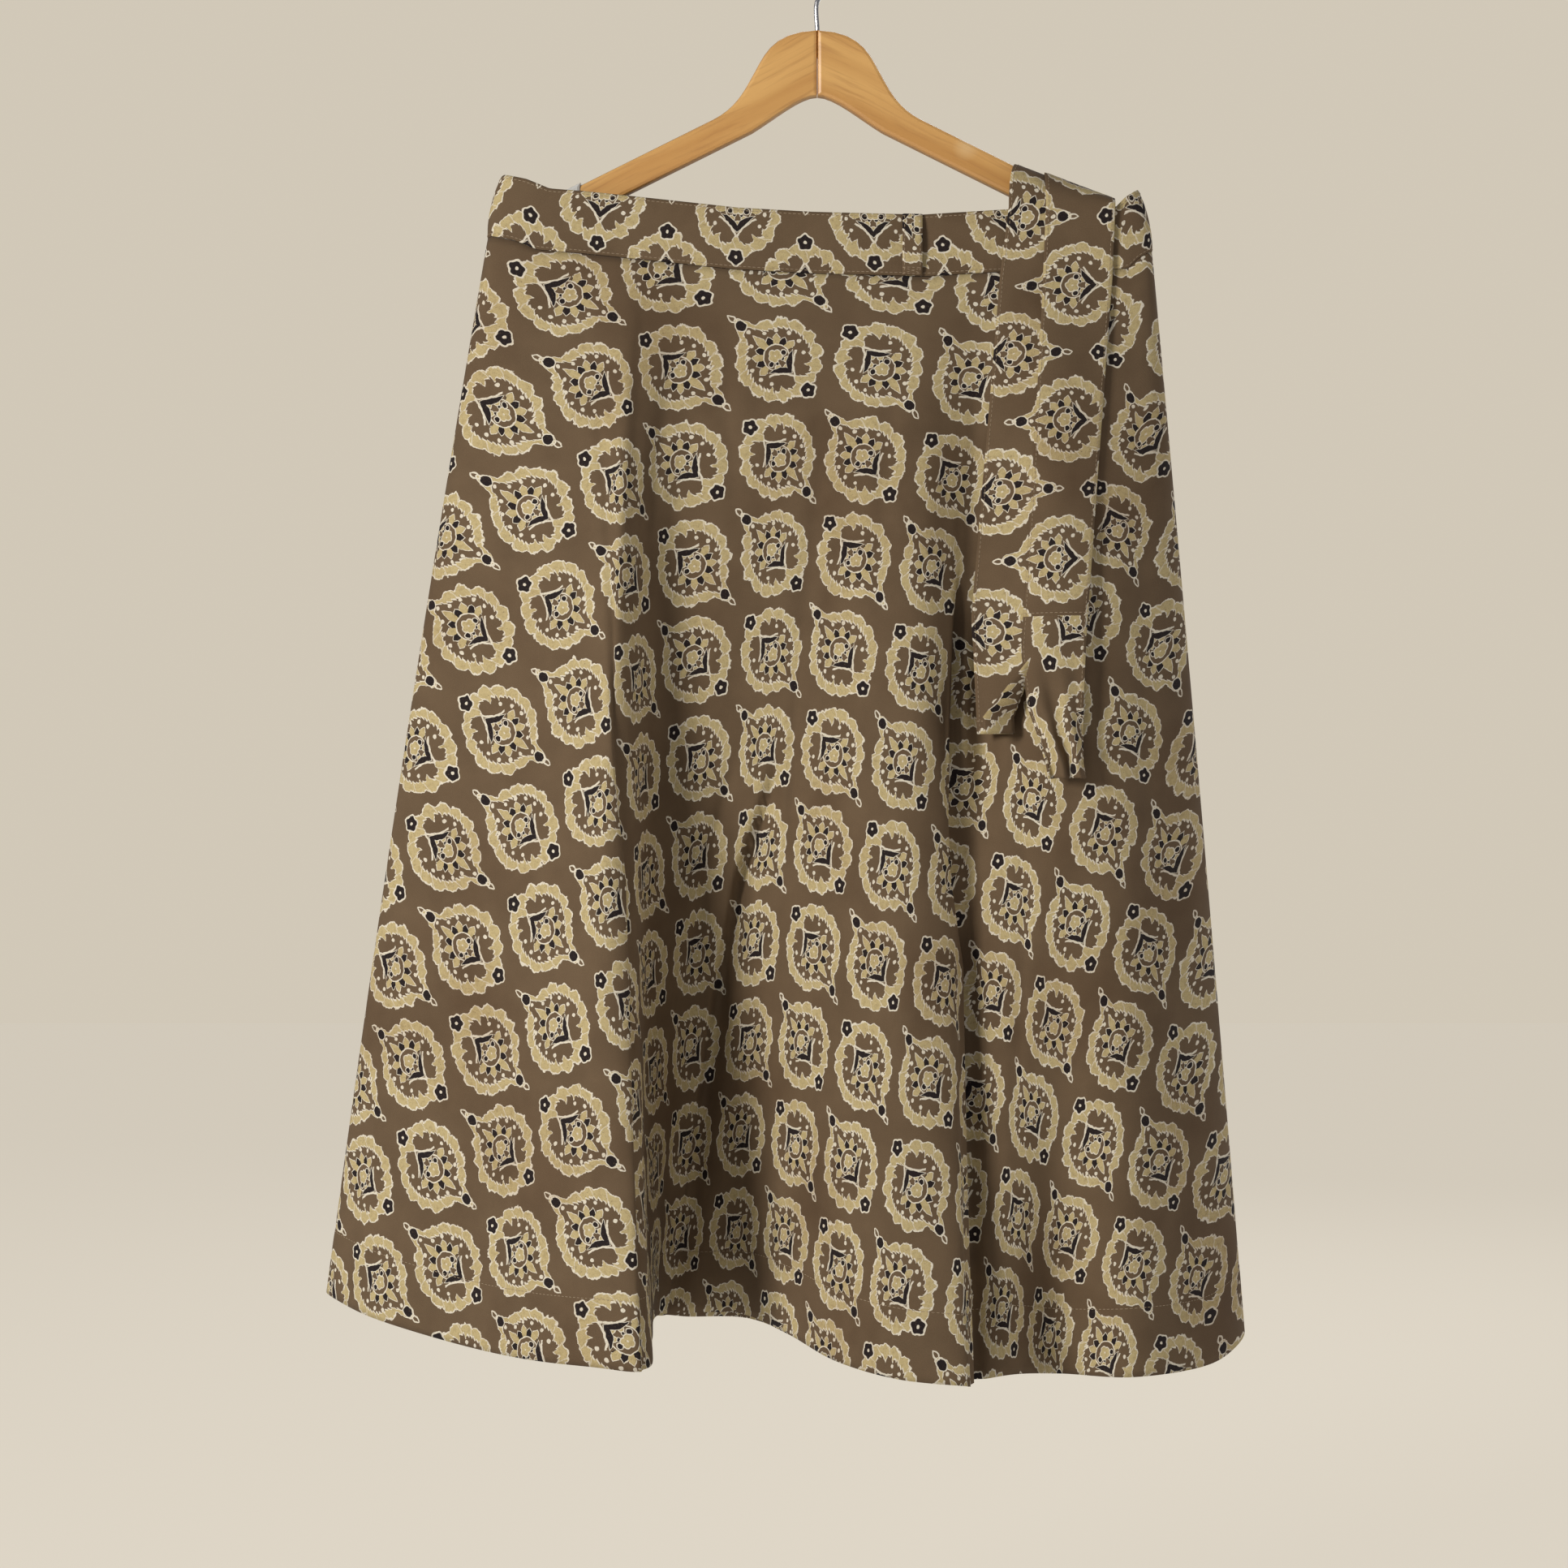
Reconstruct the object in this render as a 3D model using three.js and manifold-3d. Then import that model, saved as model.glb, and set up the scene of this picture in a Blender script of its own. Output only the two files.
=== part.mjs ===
// A printed cotton wrap skirt on a wooden hanger.
// Millimetres, +Z up, the front towards -Y. The origin is the inner top of the hanger's hook.
import * as THREE from 'three';
import { mergeVertices } from 'three/addons/utils/BufferGeometryUtils.js';
import Module from 'manifold-3d';

// Cloth walls
const PANEL = 1.4;
const BAND = 2;
const BAND_UNDER = 1.4;
const NEST = 3.2;
const NEST_AT_HEM = 5.4;
const SEAM = 0.3;
const PANEL_ROWS = 10;
const FRONT_COLUMNS = 75;
const BACK_COLUMNS = 63;
const UNDER_COLUMNS = 51;
const MID_SHARE = 0.5;

// Waistband
const BAND_HEIGHT = 43;
const BAND_LEAN = 0.04;

// Ties, and how far each lies off what carries it
const TIE_THICK = 1.4;
const TIE_A_LIFT = 0.7;
const TIE_B_LIFT = 2.6;
const TIE_FOOT = -234;

// Belt loop
const LOOP = { left: 59, width: 14, thick: 1.2, seat: 0.3, rise: 3 };

// Hanger
const WOOD = { depth: 11, halfArm: 10, slope: 0.498, edge: 2.5, split: 0.3, tip: 226.6 };
const ARM_START = { x: 72.6, top: -124.6 };
const HUMP_TOP = -62;
const HUMP_UNDER = -108.3;
const CAP = { start: 166.3, wall: 1.3, fit: 0.3, edge: 3 };
const HOOK = { wire: 3.3, inner: 16, bore: 20 };

// One row for each fold line of the outer front, from the left seam to the free edge round the right
// side: the share of the cloth's width, then where the line lies at the waist seam, half-way and hem.
const FRONT = [
  { share: -0.030, waist: [-222, 12], mid: [-284, 26], hem: [-342, 63], low: -958 },
  { share: -0.012, waist: [-230.2, 7.5], mid: [-293, 21], hem: [-351, 57], low: -958 },
  { share: 0, waist: [-232.4, 0], mid: [-295, 13], hem: [-353, 46], low: -958 },
  { share: 0.022, waist: [-228.5, -9.5], mid: [-282, -2], hem: [-339, 26], low: -962 },
  { share: 0.056, waist: [-212, -15], mid: [-254, -20], hem: [-314, 2], low: -968 },
  { share: 0.118, waist: [-178, -17.3], mid: [-206, -52], hem: [-251, -35], low: -979 },
  { share: 0.18, waist: [-148, -18.7], mid: [-165, -82], hem: [-197, -80], low: -981 },
  { share: 0.22, waist: [-129, -19.3], mid: [-141, -101], hem: [-151, -110], low: -980 },
  { share: 0.246, waist: [-117, -19.5], mid: [-128, -92], hem: [-116, -124], low: -980 },
  { share: 0.32, waist: [-83, -20], mid: [-111, -46], hem: [-114, -45], low: -974 },
  { share: 0.39, waist: [-50, -20], mid: [-76, -36], hem: [-112, 12], low: -968 },
  { share: 0.422, waist: [-35, -20], mid: [-57, -35], hem: [-96, 18], low: -968 },
  { share: 0.48, waist: [-8, -20], mid: [-30, -42], hem: [-57, 3], low: -965 },
  { share: 0.54, waist: [20, -20], mid: [0, -58], hem: [-22, -50], low: -969 },
  { share: 0.598, waist: [47, -20], mid: [32, -82], hem: [12, -102], low: -978 },
  { share: 0.658, waist: [75, -20], mid: [65, -92], hem: [53, -136], low: -983 },
  { share: 0.704, waist: [97, -20], mid: [88, -80], hem: [97, -142], low: -986 },
  { share: 0.722, waist: [105, -19.8], mid: [96, -70], hem: [99, -121], low: -990 },
  { share: 0.74, waist: [114, -19.6], mid: [105, -64], hem: [107, -110], low: -989 },
  { share: 0.778, waist: [131, -19.2], mid: [127, -74], hem: [128, -101], low: -987 },
  { share: 0.84, waist: [160, -18.3], mid: [160, -89], hem: [164, -68], low: -993 },
  { share: 0.902, waist: [189, -16.7], mid: [199, -87], hem: [209, -104], low: -988 },
  { share: 0.964, waist: [218, -16.8], mid: [240, -54], hem: [267, -62], low: -988 },
  { share: 0.985, waist: [231.4, -12.4], mid: [259, -30], hem: [290, -31], low: -982 },
  { share: 1, waist: [236, -0.5], mid: [269, -5], hem: [301, 0], low: -977 },
  { share: 1.02, waist: [234, 11], mid: [268, 9], hem: [299, 22], low: -975 },
  { share: 1.045, waist: [224, 18.5], mid: [261, 22], hem: [286, 44], low: -973 },
  { share: 1.08, waist: [205, 20.2], mid: [244, 31], hem: [261, 58], low: -972 },
];

// The same for the back, from the left seam to where it slips under the outer front's free edge.
const BACK = [
  { share: 0, waist: [-222, 12], mid: [-284, 26], hem: [-342, 63], low: -958 },
  { share: 0.07, waist: [-190, 14.5], mid: [-245, 35], hem: [-288, 76], low: -964 },
  { share: 0.15, waist: [-155, 15.5], mid: [-205, 32], hem: [-222, 62], low: -968 },
  { share: 0.225, waist: [-122, 16], mid: [-172, 12], hem: [-187, -5], low: -970 },
  { share: 0.262, waist: [-105, 16], mid: [-153, 3], hem: [-166, -32], low: -972 },
  { share: 0.3, waist: [-88, 16], mid: [-133, 11], hem: [-146, -2], low: -971 },
  { share: 0.37, waist: [-55, 16], mid: [-95, 31], hem: [-116, 60], low: -970 },
  { share: 0.43, waist: [-28, 16], mid: [-60, 36], hem: [-66, 76], low: -970 },
  { share: 0.51, waist: [8, 16], mid: [-15, 31], hem: [0, 58], low: -970 },
  { share: 0.575, waist: [38, 16], mid: [20, 12], hem: [36, -12], low: -972 },
  { share: 0.605, waist: [52, 16], mid: [40, 3], hem: [58, -40], low: -974 },
  { share: 0.64, waist: [68, 16], mid: [60, 11], hem: [82, -10], low: -973 },
  { share: 0.71, waist: [100, 16], mid: [95, 31], hem: [116, 60], low: -972 },
  { share: 0.77, waist: [128, 15.8], mid: [130, 36], hem: [165, 74], low: -972 },
  { share: 0.83, waist: [155, 15.6], mid: [165, 31], hem: [206, 52], low: -972 },
  { share: 0.865, waist: [170, 15.5], mid: [188, 20], hem: [222, 18], low: -973 },
  { share: 0.89, waist: [181, 16.3], mid: [202, 16], hem: [236, -6], low: -974 },
  { share: 0.915, waist: [190, 16.6], mid: [218, 19], hem: [249, 18], low: -974 },
  { share: 0.935, waist: [200, 16.8], mid: [233, 25], hem: [257, 38], low: -973 },
];

// Fold lines of the outer front that the back and the underlap follow from inside
const BACK_TURN = [1.058, 1.04, 1.02, 1.0022];
const UNDER_START = 0.056;
const UNDER_END = 1;
const UNDER_SKIPS = [0.704, 0.722];

// Where the back starts and the back and underlap end on their own curves, just short of the seams
const BACK_FROM = 0.0012;
const BACK_TO = 1;
const UNDER_TO = 1;

// Height of the waistband's top edge along the waist
const BAND_TOP = [
  { x: -240, z: -167 },
  { x: -229, z: -165 },
  { x: -212, z: -169 },
  { x: -195, z: -176 },
  { x: -171, z: -178 },
  { x: -59, z: -190 },
  { x: -4, z: -193 },
  { x: 76, z: -195 },
  { x: 140, z: -191 },
  { x: 217, z: -189 },
  { x: 224, z: -182 },
  { x: 235, z: -175 },
  { x: 245, z: -177 },
];

// Left edge and width of each tie, from the hanger's arm down to its end
const TIE_A = [
  { z: -150, left: 140, width: 48.5 },
  { z: -191, left: 133, width: 48.5 },
  { z: -238, left: 127, width: 48.5 },
  { z: -478, left: 105, width: 48.5 },
  { z: -558, left: 107, width: 48.5 },
];
const TIE_B = [
  { z: -150, left: 160, width: 48.5 },
  { z: -191, left: 159, width: 48.5 },
  { z: -238, left: 157, width: 48.5 },
  { z: -478, left: 140, width: 43 },
  { z: -530, left: 138, width: 42 },
  { z: -586, left: 150, width: 34 },
];

// Straight line over the arm that the ties are folded on
const TIE_RIDGE = { x: 139, z: -157, slope: 0.393, halfDepth: 7.4, halfHeight: 4.4 };

function lerp(a, b, f) {
  return a + (b - a) * f;
}

// Reads a table along one column, straight between its rows
function along(table, key, value, wanted) {
  const falling = table[0][key] > table[table.length - 1][key];
  const rows = falling ? [...table].reverse() : table;
  if (value <= rows[0][key]) return rows[0][wanted];
  for (let i = 1; i < rows.length; i += 1) {
    const low = rows[i - 1];
    const high = rows[i];
    if (value <= high[key]) {
      return lerp(low[wanted], high[wanted], (value - low[key]) / (high[key] - low[key]));
    }
  }
  return rows[rows.length - 1][wanted];
}

const bandTop = (x) => along(BAND_TOP, 'x', x, 'z');
const seamHeight = (x) => bandTop(x) - BAND_HEIGHT - SEAM;

// A fold line's place at a share of the drop: a parabola through waist, half-way and hem
function foldPoint(row, drop) {
  const atWaist = ((drop - MID_SHARE) * (drop - 1)) / MID_SHARE;
  const atMid = (drop * (1 - drop)) / (MID_SHARE * (1 - MID_SHARE));
  const atHem = (drop * (drop - MID_SHARE)) / (1 - MID_SHARE);
  const mix = (k) => row.waist[k] * atWaist + row.mid[k] * atMid + row.hem[k] * atHem;
  return new THREE.Vector3(mix(0), mix(1), row.low);
}

// A section of the cloth at one drop: a curve through its fold lines, with z holding the hem height
const sectionOf = (rows, drop) => new THREE.CatmullRomCurve3(rows.map((row) => foldPoint(row, drop)));

// Point of a section moved sideways, inwards for a positive distance when the cloth runs to +X in front
function sidePoint(curve, u, inwards) {
  const step = 1e-4;
  const before = curve.getPoint(Math.max(0, u - step));
  const after = curve.getPoint(Math.min(1, u + step));
  const point = curve.getPoint(u);
  const run = Math.hypot(after.x - before.x, after.y - before.y);
  point.x -= ((after.y - before.y) / run) * inwards;
  point.y += ((after.x - before.x) / run) * inwards;
  return point;
}

// Where a share of the cloth's width falls on the curve through the rows
function curvePlace(rows, share) {
  for (let i = 1; i < rows.length; i += 1) {
    if (share <= rows[i].share) {
      const within = (share - rows[i - 1].share) / (rows[i].share - rows[i - 1].share);
      return (i - 1 + Math.max(0, within)) / (rows.length - 1);
    }
  }
  return 1;
}

const frontSection = (drop) => sectionOf(FRONT, drop);
const frontPoint = (drop, share, inwards) => sidePoint(frontSection(drop), curvePlace(FRONT, share), inwards);

// How far inside the outer front the layers under it lie
const nestAt = (drop) => lerp(NEST, NEST_AT_HEM, drop);

// The back's section: its own folds, then the turn inside the outer front's free edge
function backSection(drop) {
  const points = BACK.map((row) => foldPoint(row, drop));
  BACK_TURN.forEach((share) => points.push(frontPoint(drop, share, nestAt(drop))));
  return new THREE.CatmullRomCurve3(points);
}

// The underlap's section: the outer front's fold lines moved inwards, without its sharpest crease
function underSection(drop) {
  const rows = FRONT.filter((row) => row.share >= UNDER_START && row.share <= UNDER_END);
  const kept = rows.filter((row) => !UNDER_SKIPS.includes(row.share));
  return new THREE.CatmullRomCurve3(kept.map((row) => frontPoint(drop, row.share, nestAt(drop))));
}

// Closed wall between two grids of points, with its four rims
function wallGeometry(point, columns, rows) {
  const positions = [];
  for (const side of [0, 1]) {
    for (let j = 0; j <= rows; j += 1) {
      for (let i = 0; i <= columns; i += 1) positions.push(...point(i / columns, j / rows, side));
    }
  }
  const layer = (columns + 1) * (rows + 1);
  const at = (i, j, side) => side * layer + j * (columns + 1) + i;
  const index = [];
  const quad = (a, b, c, d) => index.push(a, b, c, a, c, d);
  for (let j = 0; j < rows; j += 1) {
    for (let i = 0; i < columns; i += 1) {
      quad(at(i, j, 0), at(i, j + 1, 0), at(i + 1, j + 1, 0), at(i + 1, j, 0));
      quad(at(i, j, 1), at(i + 1, j, 1), at(i + 1, j + 1, 1), at(i, j + 1, 1));
    }
  }
  for (let i = 0; i < columns; i += 1) {
    quad(at(i, 0, 0), at(i + 1, 0, 0), at(i + 1, 0, 1), at(i, 0, 1));
    quad(at(i, rows, 0), at(i, rows, 1), at(i + 1, rows, 1), at(i + 1, rows, 0));
  }
  for (let j = 0; j < rows; j += 1) {
    quad(at(0, j, 0), at(0, j, 1), at(0, j + 1, 1), at(0, j + 1, 0));
    quad(at(columns, j, 0), at(columns, j + 1, 0), at(columns, j + 1, 1), at(columns, j, 1));
  }
  const geometry = new THREE.BufferGeometry();
  geometry.setAttribute('position', new THREE.Float32BufferAttribute(positions, 3));
  geometry.setIndex(index);
  return facingOut(geometry);
}

// Six times the signed volume tells whether the faces point out
function facingOut(geometry) {
  const place = geometry.attributes.position;
  const index = geometry.index.array;
  const [a, b, c] = [new THREE.Vector3(), new THREE.Vector3(), new THREE.Vector3()];
  let volume = 0;
  for (let i = 0; i < index.length; i += 3) {
    a.fromBufferAttribute(place, index[i]);
    b.fromBufferAttribute(place, index[i + 1]);
    c.fromBufferAttribute(place, index[i + 2]);
    volume += a.dot(b.cross(c));
  }
  if (volume < 0) index.reverse();
  return geometry;
}

// A skirt panel: sections hung one below the other from the waist seam to the hem
function panelGeometry(section, start, end, columns, outside, hemShift) {
  const curves = Array.from({ length: PANEL_ROWS + 1 }, (_, j) => section(j / PANEL_ROWS));
  return wallGeometry((i, j, side) => {
    const u = lerp(start, end, i);
    const inwards = side === 0 ? 0 : PANEL * outside;
    const point = sidePoint(curves[Math.round(j * PANEL_ROWS)], u, inwards);
    const top = curves[0].getPoint(u);
    point.z = lerp(seamHeight(top.x), point.z + hemShift(u), j);
    return [point.x, point.y, point.z];
  }, columns, PANEL_ROWS);
}

// A stretch of waistband above a panel, leaning in a little towards its top edge
function bandGeometry(section, start, end, columns, outside, thick) {
  const curve = section(0);
  return wallGeometry((i, j, side) => {
    const u = lerp(start, end, i);
    const point = sidePoint(curve, u, side === 0 ? 0 : thick * outside);
    const middle = curve.getPoint(u);
    const lean = 1 - BAND_LEAN * (1 - j) ** 2;
    return [point.x * lean, point.y, bandTop(middle.x) - BAND_HEIGHT * j];
  }, columns, 3);
}

const waistSection = frontSection(0);

// Depth of the outer front at a place seen from the front: the fold curve's parameter is halved down to
// the wanted x, and the drop is worked out again from the heights found there
function frontDepth(x, z) {
  let drop = 0;
  let depth = 0;
  for (let pass = 0; pass < 5; pass += 1) {
    const curve = frontSection(drop);
    let [near, far] = [curvePlace(FRONT, 0.5), curvePlace(FRONT, 1)];
    for (let halving = 0; halving < 20; halving += 1) {
      const middle = (near + far) / 2;
      if (curve.getPoint(middle).x < x) near = middle;
      else far = middle;
    }
    const top = seamHeight(waistSection.getPoint(near).x);
    const place = curve.getPoint(near);
    depth = place.y;
    drop = THREE.MathUtils.clamp((z - top) / (place.z - top), 0, 1);
  }
  return depth;
}

// A tie in five stretches: up behind the arm, over its back edge, over its front edge to the waistband's
// top, down the waistband, then down the panel
function tieGeometry(table, lift) {
  const foot = table[table.length - 1].z;
  const onArm = table[0];
  const [behind, ridge, edge, seam, last] = [3, 7, 12, 14, 32];
  return wallGeometry((w, k, side) => {
    const off = lift + (side === 0 ? TIE_THICK : 0);
    const armX = onArm.left + w * onArm.width;
    const armZ = TIE_RIDGE.z - (armX - TIE_RIDGE.x) * TIE_RIDGE.slope;
    const centre = armZ - TIE_RIDGE.halfHeight;
    const step = Math.round(k * last);
    if (step < behind) return [armX, TIE_RIDGE.halfDepth + off, lerp(TIE_FOOT, centre, step / behind)];
    if (step <= ridge) {
      const turn = (Math.PI / 2) * ((step - behind) / (ridge - behind));
      const rise = (TIE_RIDGE.halfHeight + off) * Math.sin(turn);
      return [armX, (TIE_RIDGE.halfDepth + off) * Math.cos(turn), centre + rise];
    }
    const bandEdge = bandTop(armX / (1 - BAND_LEAN)) + 1;
    if (step <= edge) {
      const turn = (Math.PI / 2) * ((step - ridge) / (edge - ridge));
      const x = lerp(armX, tieX(table, bandEdge, w), Math.sin(turn));
      const z = bandEdge + (armZ + off - bandEdge) * Math.cos(turn);
      return [x, (frontDepth(x, bandEdge) - off) * Math.sin(turn), z];
    }
    const bandSeam = seamHeight(armX);
    const onBand = step <= seam;
    const z = onBand
      ? lerp(bandEdge, bandSeam, (step - edge) / (seam - edge))
      : lerp(bandSeam, foot, (step - seam) / (last - seam));
    const x = tieX(table, z, w);
    return [x, frontDepth(x, z) - off, z];
  }, 5, last);
}

const tieX = (table, z, w) => along(table, 'z', z, 'left') + w * along(table, 'z', z, 'width');

// Belt loop: a narrow strip bowed off the waistband
function loopGeometry() {
  return wallGeometry((w, k, side) => {
    const x = LOOP.left + w * LOOP.width;
    const bow = LOOP.rise * Math.sin(Math.PI * k) ** 0.6;
    const off = LOOP.seat + bow + (side === 0 ? LOOP.thick : 0);
    return [x, frontDepth(x, bandTop(x)) - off, bandTop(x) - BAND_HEIGHT * k];
  }, 2, 10);
}

const armSlant = Math.atan(WOOD.slope);
const armMiddle = (x) => ARM_START.top - WOOD.halfArm / Math.cos(armSlant) - (x - ARM_START.x) * WOOD.slope;

// The straight arm's round end, from its top edge over the tip to its bottom edge
function armEnd(shape, grow) {
  const radius = WOOD.halfArm + grow;
  const x = WOOD.tip - WOOD.halfArm;
  shape.absarc(x, armMiddle(x), radius, Math.PI / 2 - armSlant, -Math.PI / 2 - armSlant, true);
}

// Plate of an outline seen from the front, with rounded edges
function plateGeometry(shape, depth, edge) {
  const geometry = new THREE.ExtrudeGeometry(shape, {
    depth: depth - 2 * edge,
    bevelThickness: edge,
    bevelSize: edge,
    bevelOffset: -edge,
    bevelSegments: 2,
    curveSegments: 8,
  });
  geometry.translate(0, 0, -depth / 2 + edge);
  geometry.rotateX(Math.PI / 2);
  return geometry;
}

// One half of the wooden hanger: hump, shoulder and arm
function woodGeometry() {
  const shape = new THREE.Shape();
  const joint = WOOD.split / 2;
  shape.moveTo(joint, HUMP_UNDER);
  shape.lineTo(joint, HUMP_TOP);
  shape.bezierCurveTo(34, HUMP_TOP - 1, 38, -82, 47, -97);
  shape.bezierCurveTo(52, -106, 58, -117, ARM_START.x, ARM_START.top);
  armEnd(shape, 0);
  shape.lineTo(46, armMiddle(46) - WOOD.halfArm / Math.cos(armSlant));
  shape.bezierCurveTo(30, -124, 12, HUMP_UNDER, joint, HUMP_UNDER);
  return plateGeometry(shape, WOOD.depth, WOOD.edge);
}

// Straight stretch of the arm from a start to its tip, grown by a distance all round
function armGeometry(start, grow) {
  const reach = (WOOD.halfArm + grow) / Math.cos(armSlant);
  const shape = new THREE.Shape();
  shape.moveTo(start, armMiddle(start) - reach);
  shape.lineTo(start, armMiddle(start) + reach);
  armEnd(shape, grow);
  return plateGeometry(shape, WOOD.depth + 2 * grow, grow > CAP.fit ? CAP.edge : WOOD.edge);
}

// Steel wire hook: shank, bend and round, open to the left
function hookGeometry() {
  const radius = HOOK.inner + HOOK.wire / 2;
  const centre = -HOOK.inner;
  const points = [
    new THREE.Vector3(0, 0, HUMP_TOP - HOOK.bore + 1),
    new THREE.Vector3(0, 0, HUMP_TOP),
    new THREE.Vector3(0, 0, -41),
    new THREE.Vector3(6, 0, -34),
  ];
  for (let turn = -30; turn <= 200; turn += 23) {
    const angle = THREE.MathUtils.degToRad(turn);
    points.push(new THREE.Vector3(radius * Math.cos(angle), 0, centre + radius * Math.sin(angle)));
  }
  const wire = new THREE.Shape();
  wire.absarc(0, 0, HOOK.wire / 2, 0, 2 * Math.PI);
  const path = new THREE.CatmullRomCurve3(points);
  return new THREE.ExtrudeGeometry(wire, { extrudePath: path, steps: 44, curveSegments: 5 });
}

const wasm = await Module();
wasm.setup();

function solidOf(geometry) {
  const bare = geometry.clone();
  bare.deleteAttribute('normal');
  bare.deleteAttribute('uv');
  const merged = mergeVertices(bare, 1e-4);
  const mesh = new wasm.Mesh({
    numProp: 3,
    vertProperties: new Float32Array(merged.attributes.position.array),
    triVerts: new Uint32Array(merged.index.array),
  });
  return new wasm.Manifold(mesh);
}

function geometryOf(solid) {
  const mesh = solid.getMesh();
  const geometry = new THREE.BufferGeometry();
  geometry.setAttribute('position', new THREE.Float32BufferAttribute(mesh.vertProperties, 3));
  geometry.setIndex(new THREE.Uint32BufferAttribute(mesh.triVerts, 1));
  return geometry;
}

// Turns a right-hand piece of the hanger into the left-hand one
function mirrored(geometry) {
  const copy = geometry.clone();
  copy.scale(-1, 1, 1);
  copy.index.array.reverse();
  return copy;
}

const shankBore = new THREE.CylinderGeometry(HOOK.wire / 2 + SEAM, HOOK.wire / 2 + SEAM, 2 * HOOK.bore, 12);
shankBore.rotateX(Math.PI / 2);
shankBore.translate(0, 0, HUMP_TOP);
const woodHalf = geometryOf(solidOf(woodGeometry()).subtract(solidOf(shankBore)));
const capShell = solidOf(armGeometry(CAP.start, CAP.fit + CAP.wall));
const gripCap = geometryOf(capShell.subtract(solidOf(armGeometry(CAP.start - 20, CAP.fit))));

const cotton = new THREE.MeshStandardMaterial({ color: '#9a8763', roughness: 0.9, metalness: 0 });
const beech = new THREE.MeshStandardMaterial({ color: '#d9a964', roughness: 0.4, metalness: 0 });
const grip = new THREE.MeshStandardMaterial({ color: '#d9d6cf', roughness: 0.7, metalness: 0 });
const steel = new THREE.MeshStandardMaterial({ color: '#c9ccd0', roughness: 0.25, metalness: 1 });

const skirt = new THREE.Group();

function addPiece(name, geometry, material) {
  const mesh = new THREE.Mesh(geometry, material);
  mesh.name = name;
  skirt.add(mesh);
}

const level = () => 0;
// The underlap hangs a little below the outer hem at the deep valley, and a little above it elsewhere
const underHem = (u) => 2.5 - 6.5 * Math.exp(-(((u - 0.42) / 0.12) ** 2));

addPiece('front_panel', panelGeometry(frontSection, 0, 1, FRONT_COLUMNS, 1, level), cotton);
addPiece('back_panel', panelGeometry(backSection, BACK_FROM, BACK_TO, BACK_COLUMNS, -1, level), cotton);
addPiece('underlap_panel', panelGeometry(underSection, 0, UNDER_TO, UNDER_COLUMNS, 1, underHem), cotton);
addPiece('waistband_front', bandGeometry(frontSection, 0, 1, FRONT_COLUMNS, 1, BAND), cotton);
addPiece('waistband_back', bandGeometry(backSection, BACK_FROM, BACK_TO, BACK_COLUMNS, -1, BAND), cotton);
addPiece('waistband_underlap', bandGeometry(underSection, 0, UNDER_TO, UNDER_COLUMNS, 1, BAND_UNDER), cotton);
addPiece('tie_under', tieGeometry(TIE_A, TIE_A_LIFT), cotton);
addPiece('tie_over', tieGeometry(TIE_B, TIE_B_LIFT), cotton);
addPiece('belt_loop', loopGeometry(), cotton);
addPiece('hanger_wood_right', woodHalf, beech);
addPiece('hanger_wood_left', mirrored(woodHalf), beech);
addPiece('hanger_grip_right', gripCap, grip);
addPiece('hanger_grip_left', mirrored(gripCap), grip);
addPiece('hanger_hook', hookGeometry(), steel);

export default skirt;
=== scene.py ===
# %% [markdown]
# # A block-printed wrap skirt on a wooden hanger
# This lesson dresses a plain CAD skirt as the real one.

# %% Load the frame
import math

import bmesh
import bpy
import numpy as np
from mathutils import Matrix, Vector


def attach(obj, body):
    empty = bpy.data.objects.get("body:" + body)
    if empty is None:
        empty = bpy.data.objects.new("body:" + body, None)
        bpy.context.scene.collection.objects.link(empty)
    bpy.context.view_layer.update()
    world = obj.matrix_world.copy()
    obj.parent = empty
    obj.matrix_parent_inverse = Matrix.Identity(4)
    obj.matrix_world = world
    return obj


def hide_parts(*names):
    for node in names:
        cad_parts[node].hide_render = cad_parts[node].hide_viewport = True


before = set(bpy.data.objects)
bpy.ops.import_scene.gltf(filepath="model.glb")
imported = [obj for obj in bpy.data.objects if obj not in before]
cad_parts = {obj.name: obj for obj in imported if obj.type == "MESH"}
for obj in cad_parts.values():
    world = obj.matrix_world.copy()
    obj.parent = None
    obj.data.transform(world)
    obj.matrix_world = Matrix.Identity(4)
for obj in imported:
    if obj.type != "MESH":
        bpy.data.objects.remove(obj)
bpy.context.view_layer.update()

MM = 0.001
print("nodes:", sorted(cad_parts))

# %% [markdown]
# ## The camera
# The photograph looks straight at the skirt from about two metres, at the height of its middle. The
# camera comes first, and stands at the photograph's own place.

# %% Camera
CAMERA_PLACE = (-0.0234, -2.0, -0.592)
SENSOR = 36.0
VIEW_WIDTH = 1.104

camera = bpy.data.objects.new("camera", bpy.data.cameras.new("camera"))
camera.location = CAMERA_PLACE
camera.rotation_euler = (math.radians(90), 0, 0)
camera.data.sensor_fit = "HORIZONTAL"
camera.data.sensor_width = SENSOR
camera.data.lens = SENSOR * -CAMERA_PLACE[1] / VIEW_WIDTH
bpy.context.scene.collection.objects.link(camera)
bpy.context.scene.camera = camera
print("lens:", round(camera.data.lens, 1))

# %% [markdown]
# ## How the cloth hangs
# A hung skirt is drawn by its fold lines, which run nearly straight from the waist to the hem. Each
# row of a table is one fold line: its share of the cloth's width, and where it lies at the waist seam,
# half-way down and at the hem, in millimetres. A curve through the rows gives a section at any height.
# A cloth simulation would drape it too, but with folds of its own, and here each fold has its place.
# These are the same tables that the CAD walls were built from, so the fine cloth lies on them.

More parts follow.
